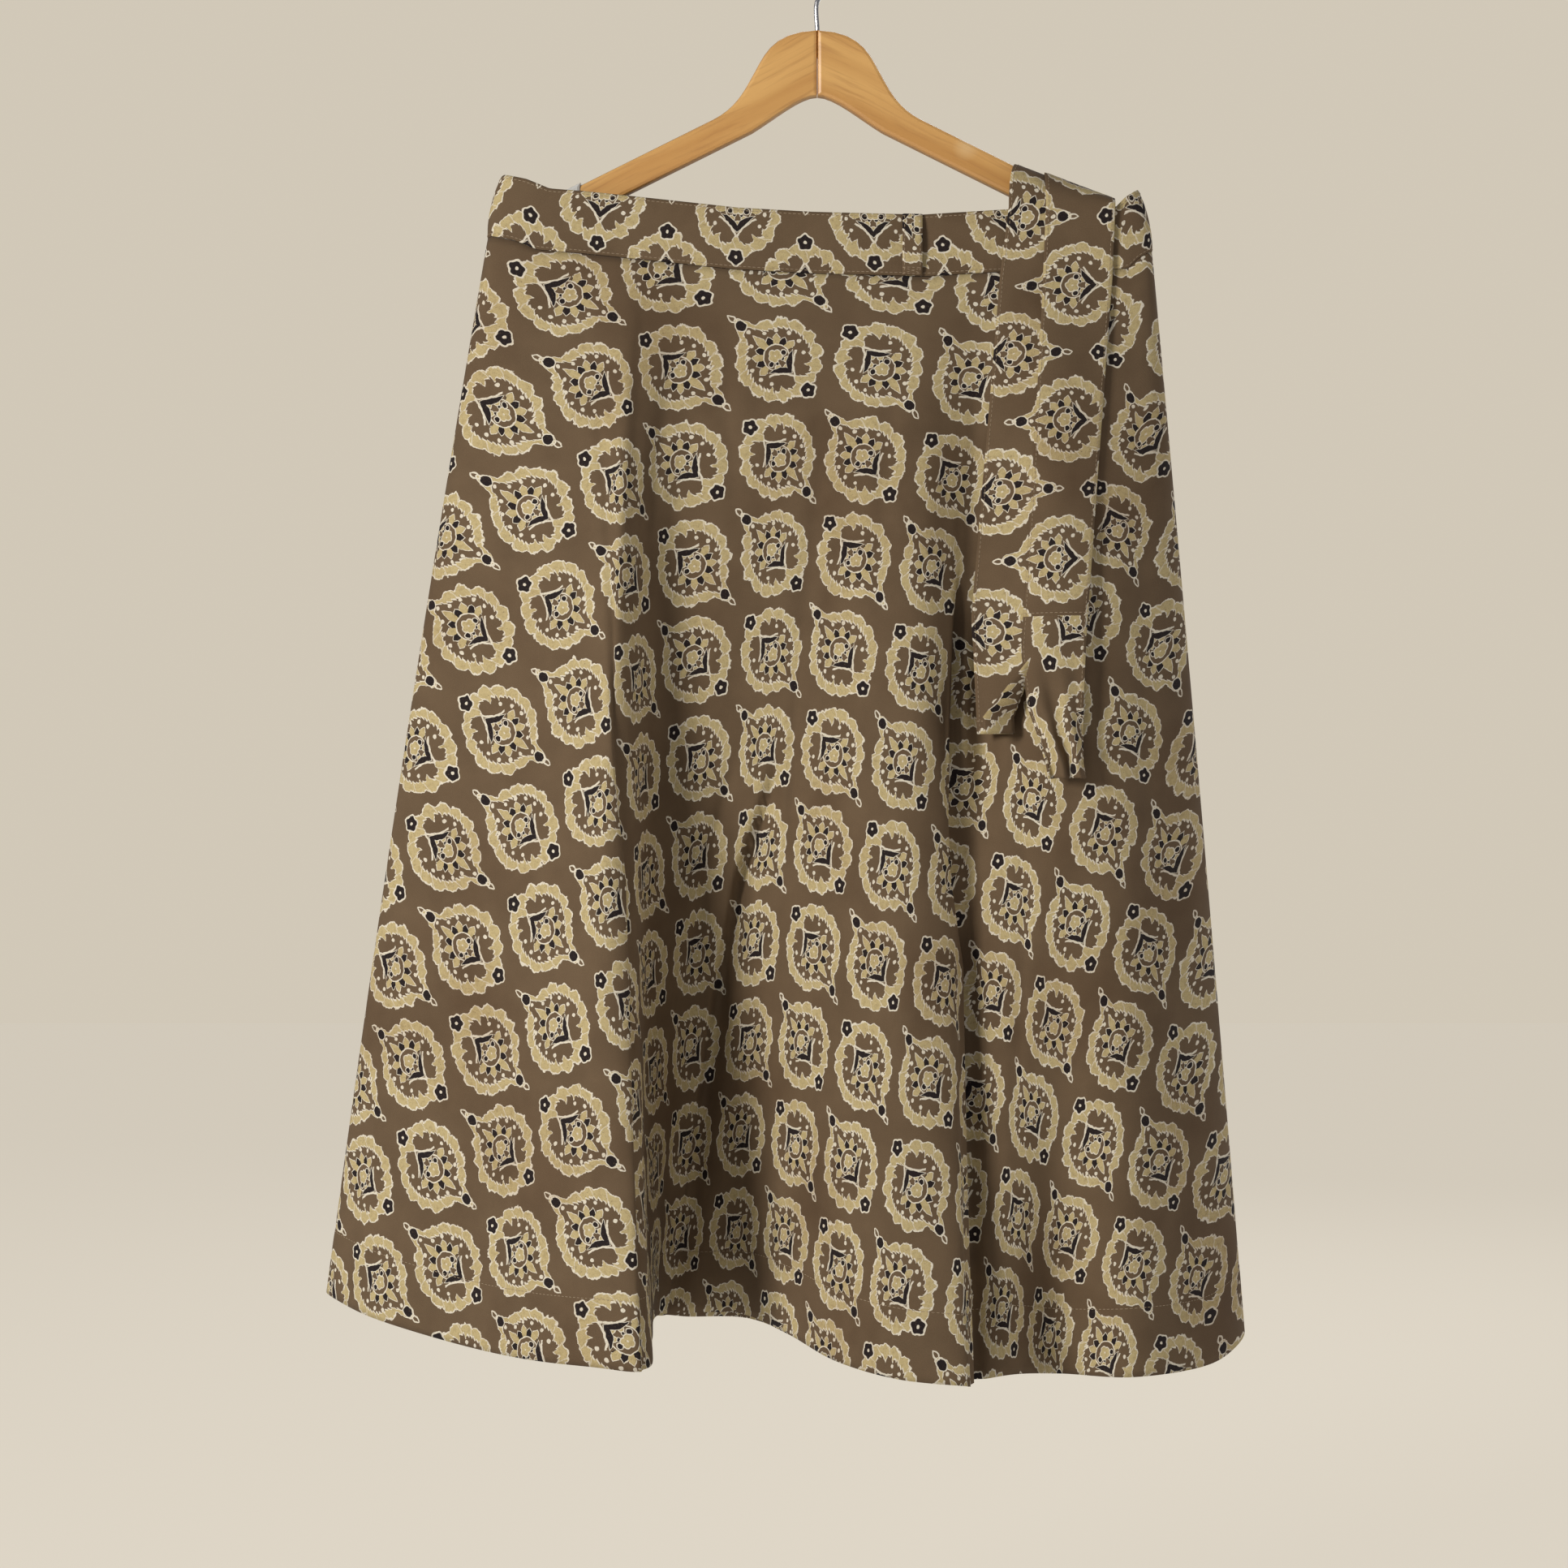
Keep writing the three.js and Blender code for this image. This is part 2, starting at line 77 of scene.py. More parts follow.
# %% Fold tables
FRONT = [
    (-0.030, (-222, 12), (-284, 26), (-342, 63), -958),
    (-0.012, (-230.2, 7.5), (-293, 21), (-351, 57), -958),
    (0.0, (-232.4, 0), (-295, 13), (-353, 46), -958),
    (0.022, (-228.5, -9.5), (-282, -2), (-339, 26), -962),
    (0.056, (-212, -15), (-254, -20), (-314, 2), -968),
    (0.118, (-178, -17.3), (-206, -52), (-251, -35), -979),
    (0.18, (-148, -18.7), (-165, -82), (-197, -80), -981),
    (0.22, (-129, -19.3), (-141, -101), (-151, -110), -980),
    (0.246, (-117, -19.5), (-128, -92), (-116, -124), -980),
    (0.32, (-83, -20), (-111, -46), (-114, -45), -974),
    (0.39, (-50, -20), (-76, -36), (-112, 12), -968),
    (0.422, (-35, -20), (-57, -35), (-96, 18), -968),
    (0.48, (-8, -20), (-30, -42), (-57, 3), -965),
    (0.54, (20, -20), (0, -58), (-22, -50), -969),
    (0.598, (47, -20), (32, -82), (12, -102), -978),
    (0.658, (75, -20), (65, -92), (53, -136), -983),
    (0.704, (97, -20), (88, -80), (97, -142), -986),
    (0.722, (105, -19.8), (96, -70), (99, -121), -990),
    (0.74, (114, -19.6), (105, -64), (107, -110), -989),
    (0.778, (131, -19.2), (127, -74), (128, -101), -987),
    (0.84, (160, -18.3), (160, -89), (164, -68), -993),
    (0.902, (189, -16.7), (199, -87), (209, -104), -988),
    (0.964, (218, -16.8), (240, -54), (267, -62), -988),
    (0.985, (231.4, -12.4), (259, -30), (290, -31), -982),
    (1.0, (236, -0.5), (269, -5), (301, 0), -977),
    (1.02, (234, 11), (268, 9), (299, 22), -975),
    (1.045, (224, 18.5), (261, 22), (286, 44), -973),
    (1.08, (205, 20.2), (244, 31), (261, 58), -972),
]
BACK = [
    (0.0, (-222, 12), (-284, 26), (-342, 63), -958),
    (0.07, (-190, 14.5), (-245, 35), (-288, 76), -964),
    (0.15, (-155, 15.5), (-205, 32), (-222, 62), -968),
    (0.225, (-122, 16), (-172, 12), (-187, -5), -970),
    (0.262, (-105, 16), (-153, 3), (-166, -32), -972),
    (0.3, (-88, 16), (-133, 11), (-146, -2), -971),
    (0.37, (-55, 16), (-95, 31), (-116, 60), -970),
    (0.43, (-28, 16), (-60, 36), (-66, 76), -970),
    (0.51, (8, 16), (-15, 31), (0, 58), -970),
    (0.575, (38, 16), (20, 12), (36, -12), -972),
    (0.605, (52, 16), (40, 3), (58, -40), -974),
    (0.64, (68, 16), (60, 11), (82, -10), -973),
    (0.71, (100, 16), (95, 31), (116, 60), -972),
    (0.77, (128, 15.8), (130, 36), (165, 74), -972),
    (0.83, (155, 15.6), (165, 31), (206, 52), -972),
    (0.865, (170, 15.5), (188, 20), (222, 18), -973),
    (0.89, (181, 16.3), (202, 16), (236, -6), -974),
    (0.915, (190, 16.6), (218, 19), (249, 18), -974),
    (0.935, (200, 16.8), (233, 25), (257, 38), -973),
]
BACK_TURN = (1.058, 1.04, 1.02, 1.0022)
UNDER_FROM, UNDER_TO = 0.056, 1.0
UNDER_SKIPS = (0.704, 0.722)
UNDER_SHARES = [
    row[0] for row in FRONT if UNDER_FROM <= row[0] <= UNDER_TO and row[0] not in UNDER_SKIPS
]
NEST, NEST_AT_HEM = 3.2, 5.4
BAND_HEIGHT, BAND_LEAN, SEAM = 43.0, 0.04, 0.3
BAND_TOP_X = (-240, -229, -212, -195, -171, -59, -4, 76, 140, 217, 224, 235, 245)
BAND_TOP_Z = (-167, -165, -169, -176, -178, -190, -193, -195, -191, -189, -182, -175, -177)


def band_top(x):
    return np.interp(x, BAND_TOP_X, BAND_TOP_Z)


def seam_height(x):
    return band_top(x) - BAND_HEIGHT - SEAM


def fold_points(rows, drop):
    """Each fold line at one share of the drop: a parabola through waist, half-way and hem."""
    at_waist = (drop - 0.5) * (drop - 1) / 0.5
    at_mid = drop * (1 - drop) / 0.25
    at_hem = drop * (drop - 0.5) / 0.5
    flat = [
        [w * at_waist + m * at_mid + h * at_hem for w, m, h in zip(waist, mid, hem)] + [low]
        for _, waist, mid, hem, low in rows
    ]
    return np.array(flat)


def curve_at(points, places):
    """Centripetal Catmull-Rom curve through the points, at places from 0 to 1."""
    first = 2 * points[0] - points[1]
    last = 2 * points[-1] - points[-2]
    ring = np.vstack([first, points, last])
    run = np.clip(places, 0, 1) * (len(points) - 1)
    i = np.clip(np.floor(run).astype(int), 0, len(points) - 2)
    w = (run - i)[:, None]
    p0, p1, p2, p3 = (ring[i + k] for k in range(4))
    d0, d1, d2 = (
        np.maximum(np.linalg.norm(b - a, axis=1), 1e-9)[:, None] ** 0.5
        for a, b in ((p0, p1), (p1, p2), (p2, p3))
    )
    t1 = ((p1 - p0) / d0 - (p2 - p0) / (d0 + d1) + (p2 - p1) / d1) * d1
    t2 = ((p2 - p1) / d1 - (p3 - p1) / (d1 + d2) + (p3 - p2) / d2) * d1
    return p1 + t1 * w + (-3 * p1 + 3 * p2 - 2 * t1 - t2) * w**2 + (2 * p1 - 2 * p2 + t1 + t2) * w**3


def side_normals(points, places):
    """Level directions that point into the skirt, one for each place on the curve."""
    step = 1e-4
    ahead = curve_at(points, np.minimum(places + step, 1))
    run = ahead - curve_at(points, np.maximum(places - step, 0))
    level = np.stack([-run[:, 1], run[:, 0]], axis=1)
    return level / np.linalg.norm(level, axis=1)[:, None]


def places_of(rows, shares):
    """Where shares of the cloth's width fall on the curve through the rows."""
    knots = [row[0] for row in rows]
    return np.interp(shares, knots, np.arange(len(rows)) / (len(rows) - 1))


def run_along(places):
    """Length of a path up to each of its places."""
    steps = np.linalg.norm(np.diff(places, axis=0), axis=1)
    return np.concatenate([[0], np.cumsum(steps)])


def front_inside(drop, shares, inwards):
    """Places on the outer front's inner side, at shares of its width."""
    points = fold_points(FRONT, drop)
    places = places_of(FRONT, np.array(shares))
    found = curve_at(points, places)
    found[:, :2] += side_normals(points, places) * inwards
    return found


def front_section(drop):
    return fold_points(FRONT, drop)


def nest(drop):
    """How far inside the front the cloth behind it lies, in millimetres."""
    return NEST + (NEST_AT_HEM - NEST) * drop


def back_section(drop):
    return np.vstack([fold_points(BACK, drop), front_inside(drop, BACK_TURN, nest(drop))])


def under_section(drop):
    return front_inside(drop, UNDER_SHARES, nest(drop))


print("fold lines:", len(FRONT), "front,", len(BACK), "back")

# %% [markdown]
# ## The flat cloth
# A flared skirt is cut as a piece of a ring: each fold line is a ray, and the hem is an arc. The print
# was stamped on flat cloth, so its coordinates are those of the cloth before it was sewn. The mapping
# here is a gentle bend of a straight grid: it widens towards the hem, and both its edges rise. The UV
# map holds the result as real metres of flat cloth. A print projected from the front would be simpler,
# but it would slide over the folds instead of turning with them.

# %% Flat cutting lines
PITCH = 68.6
ROW_START = 621.0
# The bend: each value half-way down the skirt, and its growth from there to the hem
CENTRE_LINE, HALF_WIDTH = (-5.7, 5.0), (396.4, 196.0)
FALL, TILT, ARCH = (930.8, 371.7), (9.0, 10.8), (86.8, 26.7)


def cut_place(shares, drop):
    """Cloth coordinates in millimetres, x to the right and y up, with the print's cells at PITCH."""
    side = 2 * shares - 1
    low = 2 * drop - 1
    centre, half_width, fall, tilt, arch = (
        start + growth * low for start, growth in (CENTRE_LINE, HALF_WIDTH, FALL, TILT, ARCH)
    )
    down = fall + side * tilt - side**2 * arch
    return centre + side * half_width, ROW_START - down + PITCH / 2


# %% [markdown]
# ## Shader groups
# Three effects are used by more than one material, so each is a node group with named inputs: the
# block print, the plain weave and the stains of age. Two small helpers write the arithmetic nodes. A
# Flow is a number on a wire, and a plain sum with it adds a Math node, so a shape's formula reads as
# it would on paper.


# %% Node helpers
class Flow:
    """A number on a wire. Sums with it add nodes to its tree."""

    def __init__(self, wires, socket):
        self.wires = wires
        self.socket = socket

    def __add__(self, other):
        return self.wires.math("ADD", self, other)

    def __sub__(self, other):
        return self.wires.math("SUBTRACT", self, other)

    def __rsub__(self, other):
        return self.wires.math("SUBTRACT", other, self)

    def __mul__(self, other):
        return self.wires.math("MULTIPLY", self, other)

    def __truediv__(self, other):
        return self.wires.math("DIVIDE", self, other)

    def __gt__(self, other):
        return self.wires.math("GREATER_THAN", self, other)

    def __abs__(self):
        return self.wires.math("ABSOLUTE", self)


class Wires:
    """Adds nodes to a tree and links them in one call each."""

    def __init__(self, tree):
        self.tree = tree

    def node(self, kind, **settings):
        made = self.tree.nodes.new(kind)
        for name, value in settings.items():
            setattr(made, name, value)
        return made

    def put(self, socket, value):
        if isinstance(value, Flow):
            value = value.socket
        if isinstance(value, bpy.types.NodeSocket):
            self.tree.links.new(value, socket)
        elif value is not None:
            socket.default_value = value

    def fill(self, made, values):
        """Sets or links a node's inputs, given by name or by number."""
        for name, value in values.items():
            self.put(made.inputs[name], value)
        return made

    def math(self, operation, a, b=None, c=None, clamp=False):
        made = self.node("ShaderNodeMath", operation=operation, use_clamp=clamp)
        return Flow(self, self.fill(made, {0: a, 1: b, 2: c}).outputs[0])

    def mix(self, mask, under, over, **settings):
        made = self.node("ShaderNodeMix", data_type="RGBA", **settings)
        return self.fill(made, {0: mask, 6: under, 7: over}).outputs[2]

    def split(self, vector):
        """The x, y and z of a vector."""
        made = self.fill(self.node("ShaderNodeSeparateXYZ"), {0: vector})
        return [Flow(self, socket) for socket in made.outputs]

    def noise(self, vector, scale, detail=3.0, roughness=0.5):
        made = self.node("ShaderNodeTexNoise")
        self.fill(made, {"Vector": vector, "Scale": scale, "Detail": detail, "Roughness": roughness})
        return Flow(self, made.outputs["Fac"])

    def ramp(self, value, low, high):
        """0 up to a low value, 1 from a high one, and even between them."""
        made = self.node("ShaderNodeMapRange", clamp=True)
        return Flow(self, self.fill(made, {0: value, 1: low, 2: high, 3: 0.0, 4: 1.0}).outputs[0])

    def length(self, x, y):
        return self.math("SQRT", x * x + y * y)

    def inside(self, distance, limit, soft=0.25):
        """1 where distance is under the limit, with a soft edge."""
        over = self.math("SUBTRACT", limit, distance)
        return self.math("MULTIPLY_ADD", over, 1 / soft, 0.5, clamp=True)


def new_group(name, inputs, outputs):
    tree = bpy.data.node_groups.new(name, "ShaderNodeTree")
    for label, kind, value in inputs:
        socket = tree.interface.new_socket(name=label, in_out="INPUT", socket_type=kind)
        if value is not None:
            socket.default_value = value
    for label, kind in outputs:
        tree.interface.new_socket(name=label, in_out="OUTPUT", socket_type=kind)
    wires = Wires(tree)
    return tree, wires, wires.node("NodeGroupInput").outputs, wires.node("NodeGroupOutput").inputs


# %% [markdown]
# ## The block print
# The print is a traditional one: a ring of rope with a small flower head inside, a flower bud at one
# end and a drawn-out tip at the other. Neighbours on the square lattice are turned end for end. Each
# motif is drawn with distances in millimetres: a runs from the motif's middle towards the bud, b goes
# across, and r and turn are the same place in polar form. Drawn as sums, the print stays sharp at any
# distance, and a slow noise moves its lines a little, as a hand-held stamp does.

# %% Block print group
CREAM = (0.76, 0.69, 0.55, 1)
STRAW = (0.54, 0.43, 0.215, 1)
STRAW_DARK = (0.43, 0.33, 0.155, 1)
INK = (0.016, 0.010, 0.010, 1)
GROUND = (0.154, 0.101, 0.055, 1)
GROUND_DARK = (0.120, 0.077, 0.041, 1)

print_tree, w, given, result = new_group(
    "block print",
    [("Cloth", "NodeSocketVector", None), ("Strength", "NodeSocketFloat", 1.0)],
    [("Color", "NodeSocketColor")],
)
cloth = given["Cloth"]
DIAGONAL = 0.7071
AWAY = 9.0


def cell_of(value):
    """Cell number and the place inside the cell, in millimetres from its middle."""
    scaled = value / PITCH
    number = w.math("FLOOR", scaled)
    return number, (scaled - number) * PITCH - PITCH / 2


SHAKE = 0.0013
wobble = w.node("ShaderNodeTexNoise", noise_dimensions="2D")
w.fill(wobble, {"Vector": cloth, "Scale": 260.0, "Detail": 1.0})
shake = w.node("ShaderNodeVectorMath", operation="MULTIPLY_ADD")
w.fill(shake, {0: wobble.outputs["Color"], 1: (SHAKE, SHAKE, 0), 2: cloth})
metres = w.split(shake.outputs[0])
column, cell_x = cell_of(metres[0] * 1000.0)
line, cell_y = cell_of(metres[1] * 1000.0)
facing = w.math("PINGPONG", column + line, 1.0) * -2.0 + 1.0
a = (cell_y - cell_x) * DIAGONAL * facing
b = (cell_y + cell_x) * DIAGONAL * facing
r = w.length(a, b)
turn = w.math("ARCTAN2", b, a)
side = abs(turn)


def bump_at(value, middle, width):
    """A smooth hump of height 1 round a middle value."""
    off = (value - middle) / width
    return w.math("EXPONENT", off * off * -1.0)


def near(place_a, place_b, mirrored=True):
    """Distance from a point given as (a, b), on both sides of the axis when mirrored."""
    return w.length(a - place_a, (abs(b) if mirrored else b) - place_b)


def lay(colour, distance, limit, ink, outline=0.0):
    """Stamps a shape whose edge is at distance = limit, over a cream outline of its own."""
    if outline:
        colour = w.mix(w.inside(distance, limit + outline), colour, CREAM)
    return w.mix(w.inside(distance, limit), colour, ink)


mottle = w.noise(cloth, 22.0, 4.0, 0.6)
colour = w.mix(w.ramp(mottle, 0.35, 0.75), GROUND, GROUND_DARK)
print("cells of", PITCH, "mm")

# %% [markdown]
# ### The rope ring
# The ring is the space between two radii that change round the motif. The outer one has lobes and a
# drawn-out tip, the inner one has teeth and small steps, and both are ragged, as a carved wood block
# prints them. A pale strand crosses each lobe.

# %% Rope ring
LOBES, TEETH = 7.5, 6.7
RING_OUTSIDE, RING_INSIDE = 27.8, 23.9

torn = w.noise(cloth, 340.0, 1.0) * 3.0 - 1.5
ragged = w.noise(cloth, 95.0, 1.0) * 6.0 - 3.0 + torn
lobes = w.math("POWER", abs(w.math("SINE", turn * LOBES)), 0.7)
outer = lobes * 2.5 + bump_at(side, math.pi, 0.165) * 11.5 + (ragged + RING_OUTSIDE)
inner = ragged * 0.45 + RING_INSIDE - w.math("FRACT", turn * TEETH) * 1.6
INNER_STEPS = ((math.pi, 0.2, 9.5), (0.0, 0.17, -7.0), (0.66, 0.07, -4.6), (1.02, 0.05, -2.2))
for middle, width, height in INNER_STEPS:
    inner = bump_at(side, middle, width) * height + inner
from_ring = w.math("MAXIMUM", r - outer, inner - r)
fibres = w.noise(cloth, 300.0, 2.0, 0.6)
straw = w.mix(w.ramp(fibres, 0.46, 0.74), STRAW, STRAW_DARK)
colour = lay(colour, from_ring, 0.5, CREAM)
colour = lay(colour, from_ring, fibres * -2.6 + 0.75, straw)
twist = w.math("SINE", (r - 25.0) * 0.16 + turn * LOBES)
strand = w.math("MAXIMUM", abs(twist) * 3.4, from_ring + 0.4)
colour = w.mix(w.inside(strand, 0.42, 0.4) * 0.6, colour, CREAM)
print("ring from", RING_INSIDE, "to", RING_OUTSIDE, "mm")

# %% [markdown]
# ### Dots and petals
# Both stand round the flower head, whose middle lies a little towards the tip. An even step of angle
# repeats one dot or one petal. Long straw petals and short dark ones take turns, and beside the
# crescents they are left out by adding AWAY to the distance, which puts a shape out of reach.

# %% Dots and petals
HEAD = -2.7
DOT_STEP, DOT_START, DOT_RING = math.radians(26.5), math.radians(19), 19.3
PETAL_STEP, PETAL_RING = math.radians(22.8), 9.8

head_a = a - HEAD
head_r = w.length(head_a, b)
from_tip = abs(w.math("ARCTAN2", b, head_a * -1.0))

past_start = from_tip - DOT_START
dot_number = w.math("ROUND", past_start / DOT_STEP)
dot = w.length((past_start - dot_number * DOT_STEP) * DOT_RING, head_r - DOT_RING)
dot = dot + (from_tip > 2.4) * AWAY
dot = w.math("MINIMUM", dot, near(-29.3, 0.0, mirrored=False))
colour = lay(colour, dot, 1.4, CREAM)

petal_number = w.math("ROUND", from_tip / PETAL_STEP)
dark_petal = w.math("PINGPONG", petal_number, 1.0)
off_petal = abs(petal_number * -PETAL_STEP + from_tip)
reach = bump_at(from_tip, 0.0, 0.2) * 5.0 + (dark_petal * -1.6 + 7.2)
rise = (head_r - PETAL_RING) / reach
half = (1.0 - rise) * w.math("SQRT", rise + 0.25) * (dark_petal * -1.4 + 6.8)
petal = off_petal * head_r - half + (from_tip > 1.83) * AWAY
petal = w.math("MAXIMUM", petal, 9.6 - head_r)
colour = lay(colour, petal, 0.6, CREAM)
colour = lay(colour, petal, -0.1, w.mix(dark_petal, straw, INK))
print("a dot every", round(math.degrees(DOT_STEP), 1), "degrees")

# %% [markdown]
# ### The flower head
# A circle holds a blossom of three round petals, two dark drops, two buds and a wedge. Each is a disc,
# or a pair of discs mirrored across the motif's axis.

# %% Flower head
HOOP_RADIUS = 9.3

hoop = abs(head_r - HOOP_RADIUS) + (from_tip > 2.1) * AWAY
colour = lay(colour, hoop, 0.42, CREAM)
colour = lay(colour, near(-1.4, 6.0), 1.75, INK, 0.6)
colour = lay(colour, near(3.7, 4.3), 1.7, straw, 0.6)
colour = lay(colour, near(1.2, 2.6), 1.1, INK, 0.4)
colour = lay(colour, near(8.0, 0.0), 2.2, straw, 0.6)
blossom = w.math("MINIMUM", near(-6.4, 0.0), w.math("MINIMUM", near(-4.3, 2.5), near(-1.8, 1.7)))
colour = lay(colour, blossom, 2.0, straw, 0.7)
print("flower head", 2 * HOOP_RADIUS, "mm across")

# %% [markdown]
# ### Crescents, bud, tip and wear
# Two dark crescents meet in a point towards the bud. The bud is a five-sided dark patch with a light
# dot. At the tip sit a dark bulb and a small outlined leaf. Last comes the wear: the stamp took
# unevenly, and the reverse of the cloth shows the print only faintly.

# %% Crescents, bud, tip and wear
APEX, CRESCENT_HALF = 16.4, 9.2
BUD, BULB = 30.6, -36.0
LEAF, LEAF_HALF_LENGTH, LEAF_HALF_WIDTH = -43.6, 3.7, 1.75

from_apex = a - APEX
spread = abs(b)
length = (spread - from_apex) * DIAGONAL - CRESCENT_HALF
square = length * length
across = (spread + from_apex) * DIAGONAL + (square * -0.022 + 1.9)
sickle = abs(across + 2.2) - (square * -0.023 + 2.0)
brim = w.math("MAXIMUM", abs(across - 0.4) - 0.6, abs(length) - CRESCENT_HALF)
colour = lay(colour, w.math("MINIMUM", brim, sickle - 0.3), 0.1, CREAM)
colour = lay(colour, sickle, 0.0, INK)

bud_turn = w.math("ARCTAN2", b, a - BUD)
from_bud = near(BUD, 0.0, mirrored=False)
colour = lay(colour, from_bud - w.math("COSINE", bud_turn * 5.0) * 0.5, 5.0, INK, 1.2)
colour = lay(colour, from_bud, 1.15, CREAM)

colour = lay(colour, w.length((a - BULB) * 0.84, b), 3.3, INK, 0.7)
leaf_a = (a - LEAF) / LEAF_HALF_LENGTH
leaf = abs(abs(b) - (1.0 - leaf_a * leaf_a) * LEAF_HALF_WIDTH) + (abs(leaf_a) > 1.1) * AWAY
colour = lay(colour, leaf, 0.55, CREAM)

taken = w.ramp(w.noise(cloth, 900.0, 2.0, 0.7), 0.2, 0.42) * given["Strength"]
w.put(result["Color"], w.mix(taken, w.mix(0.5, GROUND, GROUND_DARK), colour))
print("block print:", len(print_tree.nodes), "nodes")

# %% [markdown]
# ## Weave and age
# Plain weave is two families of threads that pass over and under each other, half a millimetre apart.
# That is too fine for geometry, so one group gives a height for the bump and a thread tone. Handled
# cotton also has cloudy darker patches, which the other group lays over any colour.

# %% Weave and age groups
weave_tree, w, given, result = new_group(
    "plain weave",
    [("Cloth", "NodeSocketVector", None), ("Threads", "NodeSocketFloat", 1900.0)],
    [("Height", "NodeSocketFloat"), ("Tone", "NodeSocketFloat")],
)
axes = w.split(given["Cloth"])
threads = Flow(w, given["Threads"]) * math.pi
w.put(result["Height"], w.math("SINE", axes[0] * threads) * w.math("SINE", axes[1] * threads))
slubs = w.noise(given["Cloth"], 1500.0, 2.0, 0.7)
w.put(result["Tone"], slubs * 0.5 + 0.75)

age_tree, w, given, result = new_group(
    "age",
    [("Color", "NodeSocketColor", None), ("Place", "NodeSocketVector", None),
     ("Amount", "NodeSocketFloat", 0.5)],
    [("Color", "NodeSocketColor")],
)
STAIN = (0.55, 0.42, 0.33, 1)
clouds = w.ramp(w.noise(given["Place"], 7.0, 4.0, 0.62), 0.5, 0.78)
stained = w.mix(clouds * given["Amount"], given["Color"], STAIN, blend_type="MULTIPLY")
w.put(result["Color"], stained)
print("groups:", [group.name for group in bpy.data.node_groups])

# %% [markdown]
# ## Cloth materials
# The skirt, the waistband and the ties are one cotton, seen on its right side and, where the hem and
# the mouth of the waist let the eye in, on its paler reverse. Both read the cloth's own UV map.

# %% Cloth materials
def new_material(name):
    material = bpy.data.materials.new(name)
    material.use_nodes = True
    wires = Wires(material.node_tree)
    return material, wires, material.node_tree.nodes["Principled BSDF"]


def place_group(wires, tree, **values):
    return wires.fill(wires.node("ShaderNodeGroup", node_tree=tree), values).outputs


def cotton_material(name, strength, age):
    material, wires, shader = new_material(name)
    cloth = wires.node("ShaderNodeUVMap", uv_map="cloth").outputs[0]
    stamped = place_group(wires, print_tree, Cloth=cloth, Strength=strength)["Color"]
    aged = place_group(wires, age_tree, Color=stamped, Place=cloth, Amount=age)["Color"]
    weave = place_group(wires, weave_tree, Cloth=cloth)
    bump = wires.node("ShaderNodeBump")
    wires.fill(bump, {"Strength": 0.35, "Distance": 0.00015, "Height": weave["Height"]})
    wires.fill(shader, {
        "Base Color": wires.mix(1.0, aged, weave["Tone"], blend_type="MULTIPLY"),
        "Roughness": 0.86,
        "Specular IOR Level": 0.25,
        "Sheen Weight": 0.04,
        "Sheen Roughness": 0.4,
        "Normal": bump.outputs[0],
    })
    return material


cotton = cotton_material("printed cotton", 1.0, 0.55)
cotton_reverse = cotton_material("printed cotton reverse", 0.45, 0.3)
print("cloth:", cotton.name, "and", cotton_reverse.name)

# %% [markdown]
# ## Panels
# A panel starts as a flat bmesh grid, a point for every few millimetres of cloth. Each point moves to
# its place on the fold lines, and takes its flat place as its UV. Creases are soft troughs that wander
# down the cloth: a table gives each one's share of the width, its reach, its width and its depth.
# Pulls are the sharper lines where hung cloth turns away from the light at once and comes back slowly.
# Sculpting could add both by hand, but a table can be read, and gives the same cloth each time.

# %% Panel maker
# Creases: share at the top, share at the bottom, drop from and to, half width and depth in millimetres
FRONT_CREASES = [
    (0.10, 0.08, 0.05, 0.5, 9, 1.6),
    (0.16, 0.17, 0.35, 0.8, 7, 1.2),
    (0.30, 0.27, 0.02, 0.42, 10, 2.4),
    (0.43, 0.36, 0.42, 0.75, 8, 3.0),
    (0.36, 0.40, 0.0, 0.3, 11, 2.0),
    (0.52, 0.50, 0.05, 0.45, 12, 1.8),
    (0.62, 0.60, 0.0, 0.35, 10, 1.6),
    (0.57, 0.55, 0.5, 0.9, 9, 1.5),
    (0.70, 0.71, 0.35, 0.62, 6, 1.8),
    (0.80, 0.79, 0.3, 0.9, 9, 1.6),
    (0.88, 0.90, 0.1, 0.6, 10, 1.8),
    (0.95, 0.94, 0.2, 0.7, 9, 1.4),
]
BACK_CREASES = [
    (0.12, 0.10, 0.03, 0.45, 10, 1.6),
    (0.24, 0.26, 0.05, 0.4, 9, 2.0),
    (0.45, 0.43, 0.1, 0.6, 10, 1.5),
    (0.58, 0.60, 0.02, 0.5, 9, 2.0),
    (0.75, 0.77, 0.2, 0.7, 11, 1.4),
    (0.86, 0.88, 0.05, 0.55, 8, 1.8),
]

# Pulls: places as (drop, share, depth), then the width of the sharp left side and of the soft right one
FRONT_PULLS = [
    ([(0.10, 0.170, 0), (0.23, 0.195, 2), (0.40, 0.221, 4), (0.57, 0.250, 5), (0.75, 0.256, 5),
      (1.0, 0.249, 4)], 4, 15),
    ([(0.46, 0.480, 0), (0.50, 0.466, 7), (0.575, 0.436, 12), (0.67, 0.422, 12), (0.78, 0.417, 11),
      (1.0, 0.408, 5)], 4, 23),
    ([(0.28, 0.722, 0), (0.33, 0.717, 8), (0.43, 0.712, 8), (0.557, 0.712, 6), (0.635, 0.733, 7),
      (1.0, 0.737, 6)], 3, 13),
    ([(0.27, 0.752, 0), (0.35, 0.750, 9), (0.45, 0.750, 9), (0.52, 0.755, 0)], 9, 18),
    ([(0.35, 0.500, 0), (0.44, 0.498, 2), (0.50, 0.500, 2), (0.58, 0.505, 0)], 2, 6),
]
PANEL_DROP, CLOTH_WIDTH, CLOTH_THICK = 770.0, 1166.0, 0.9
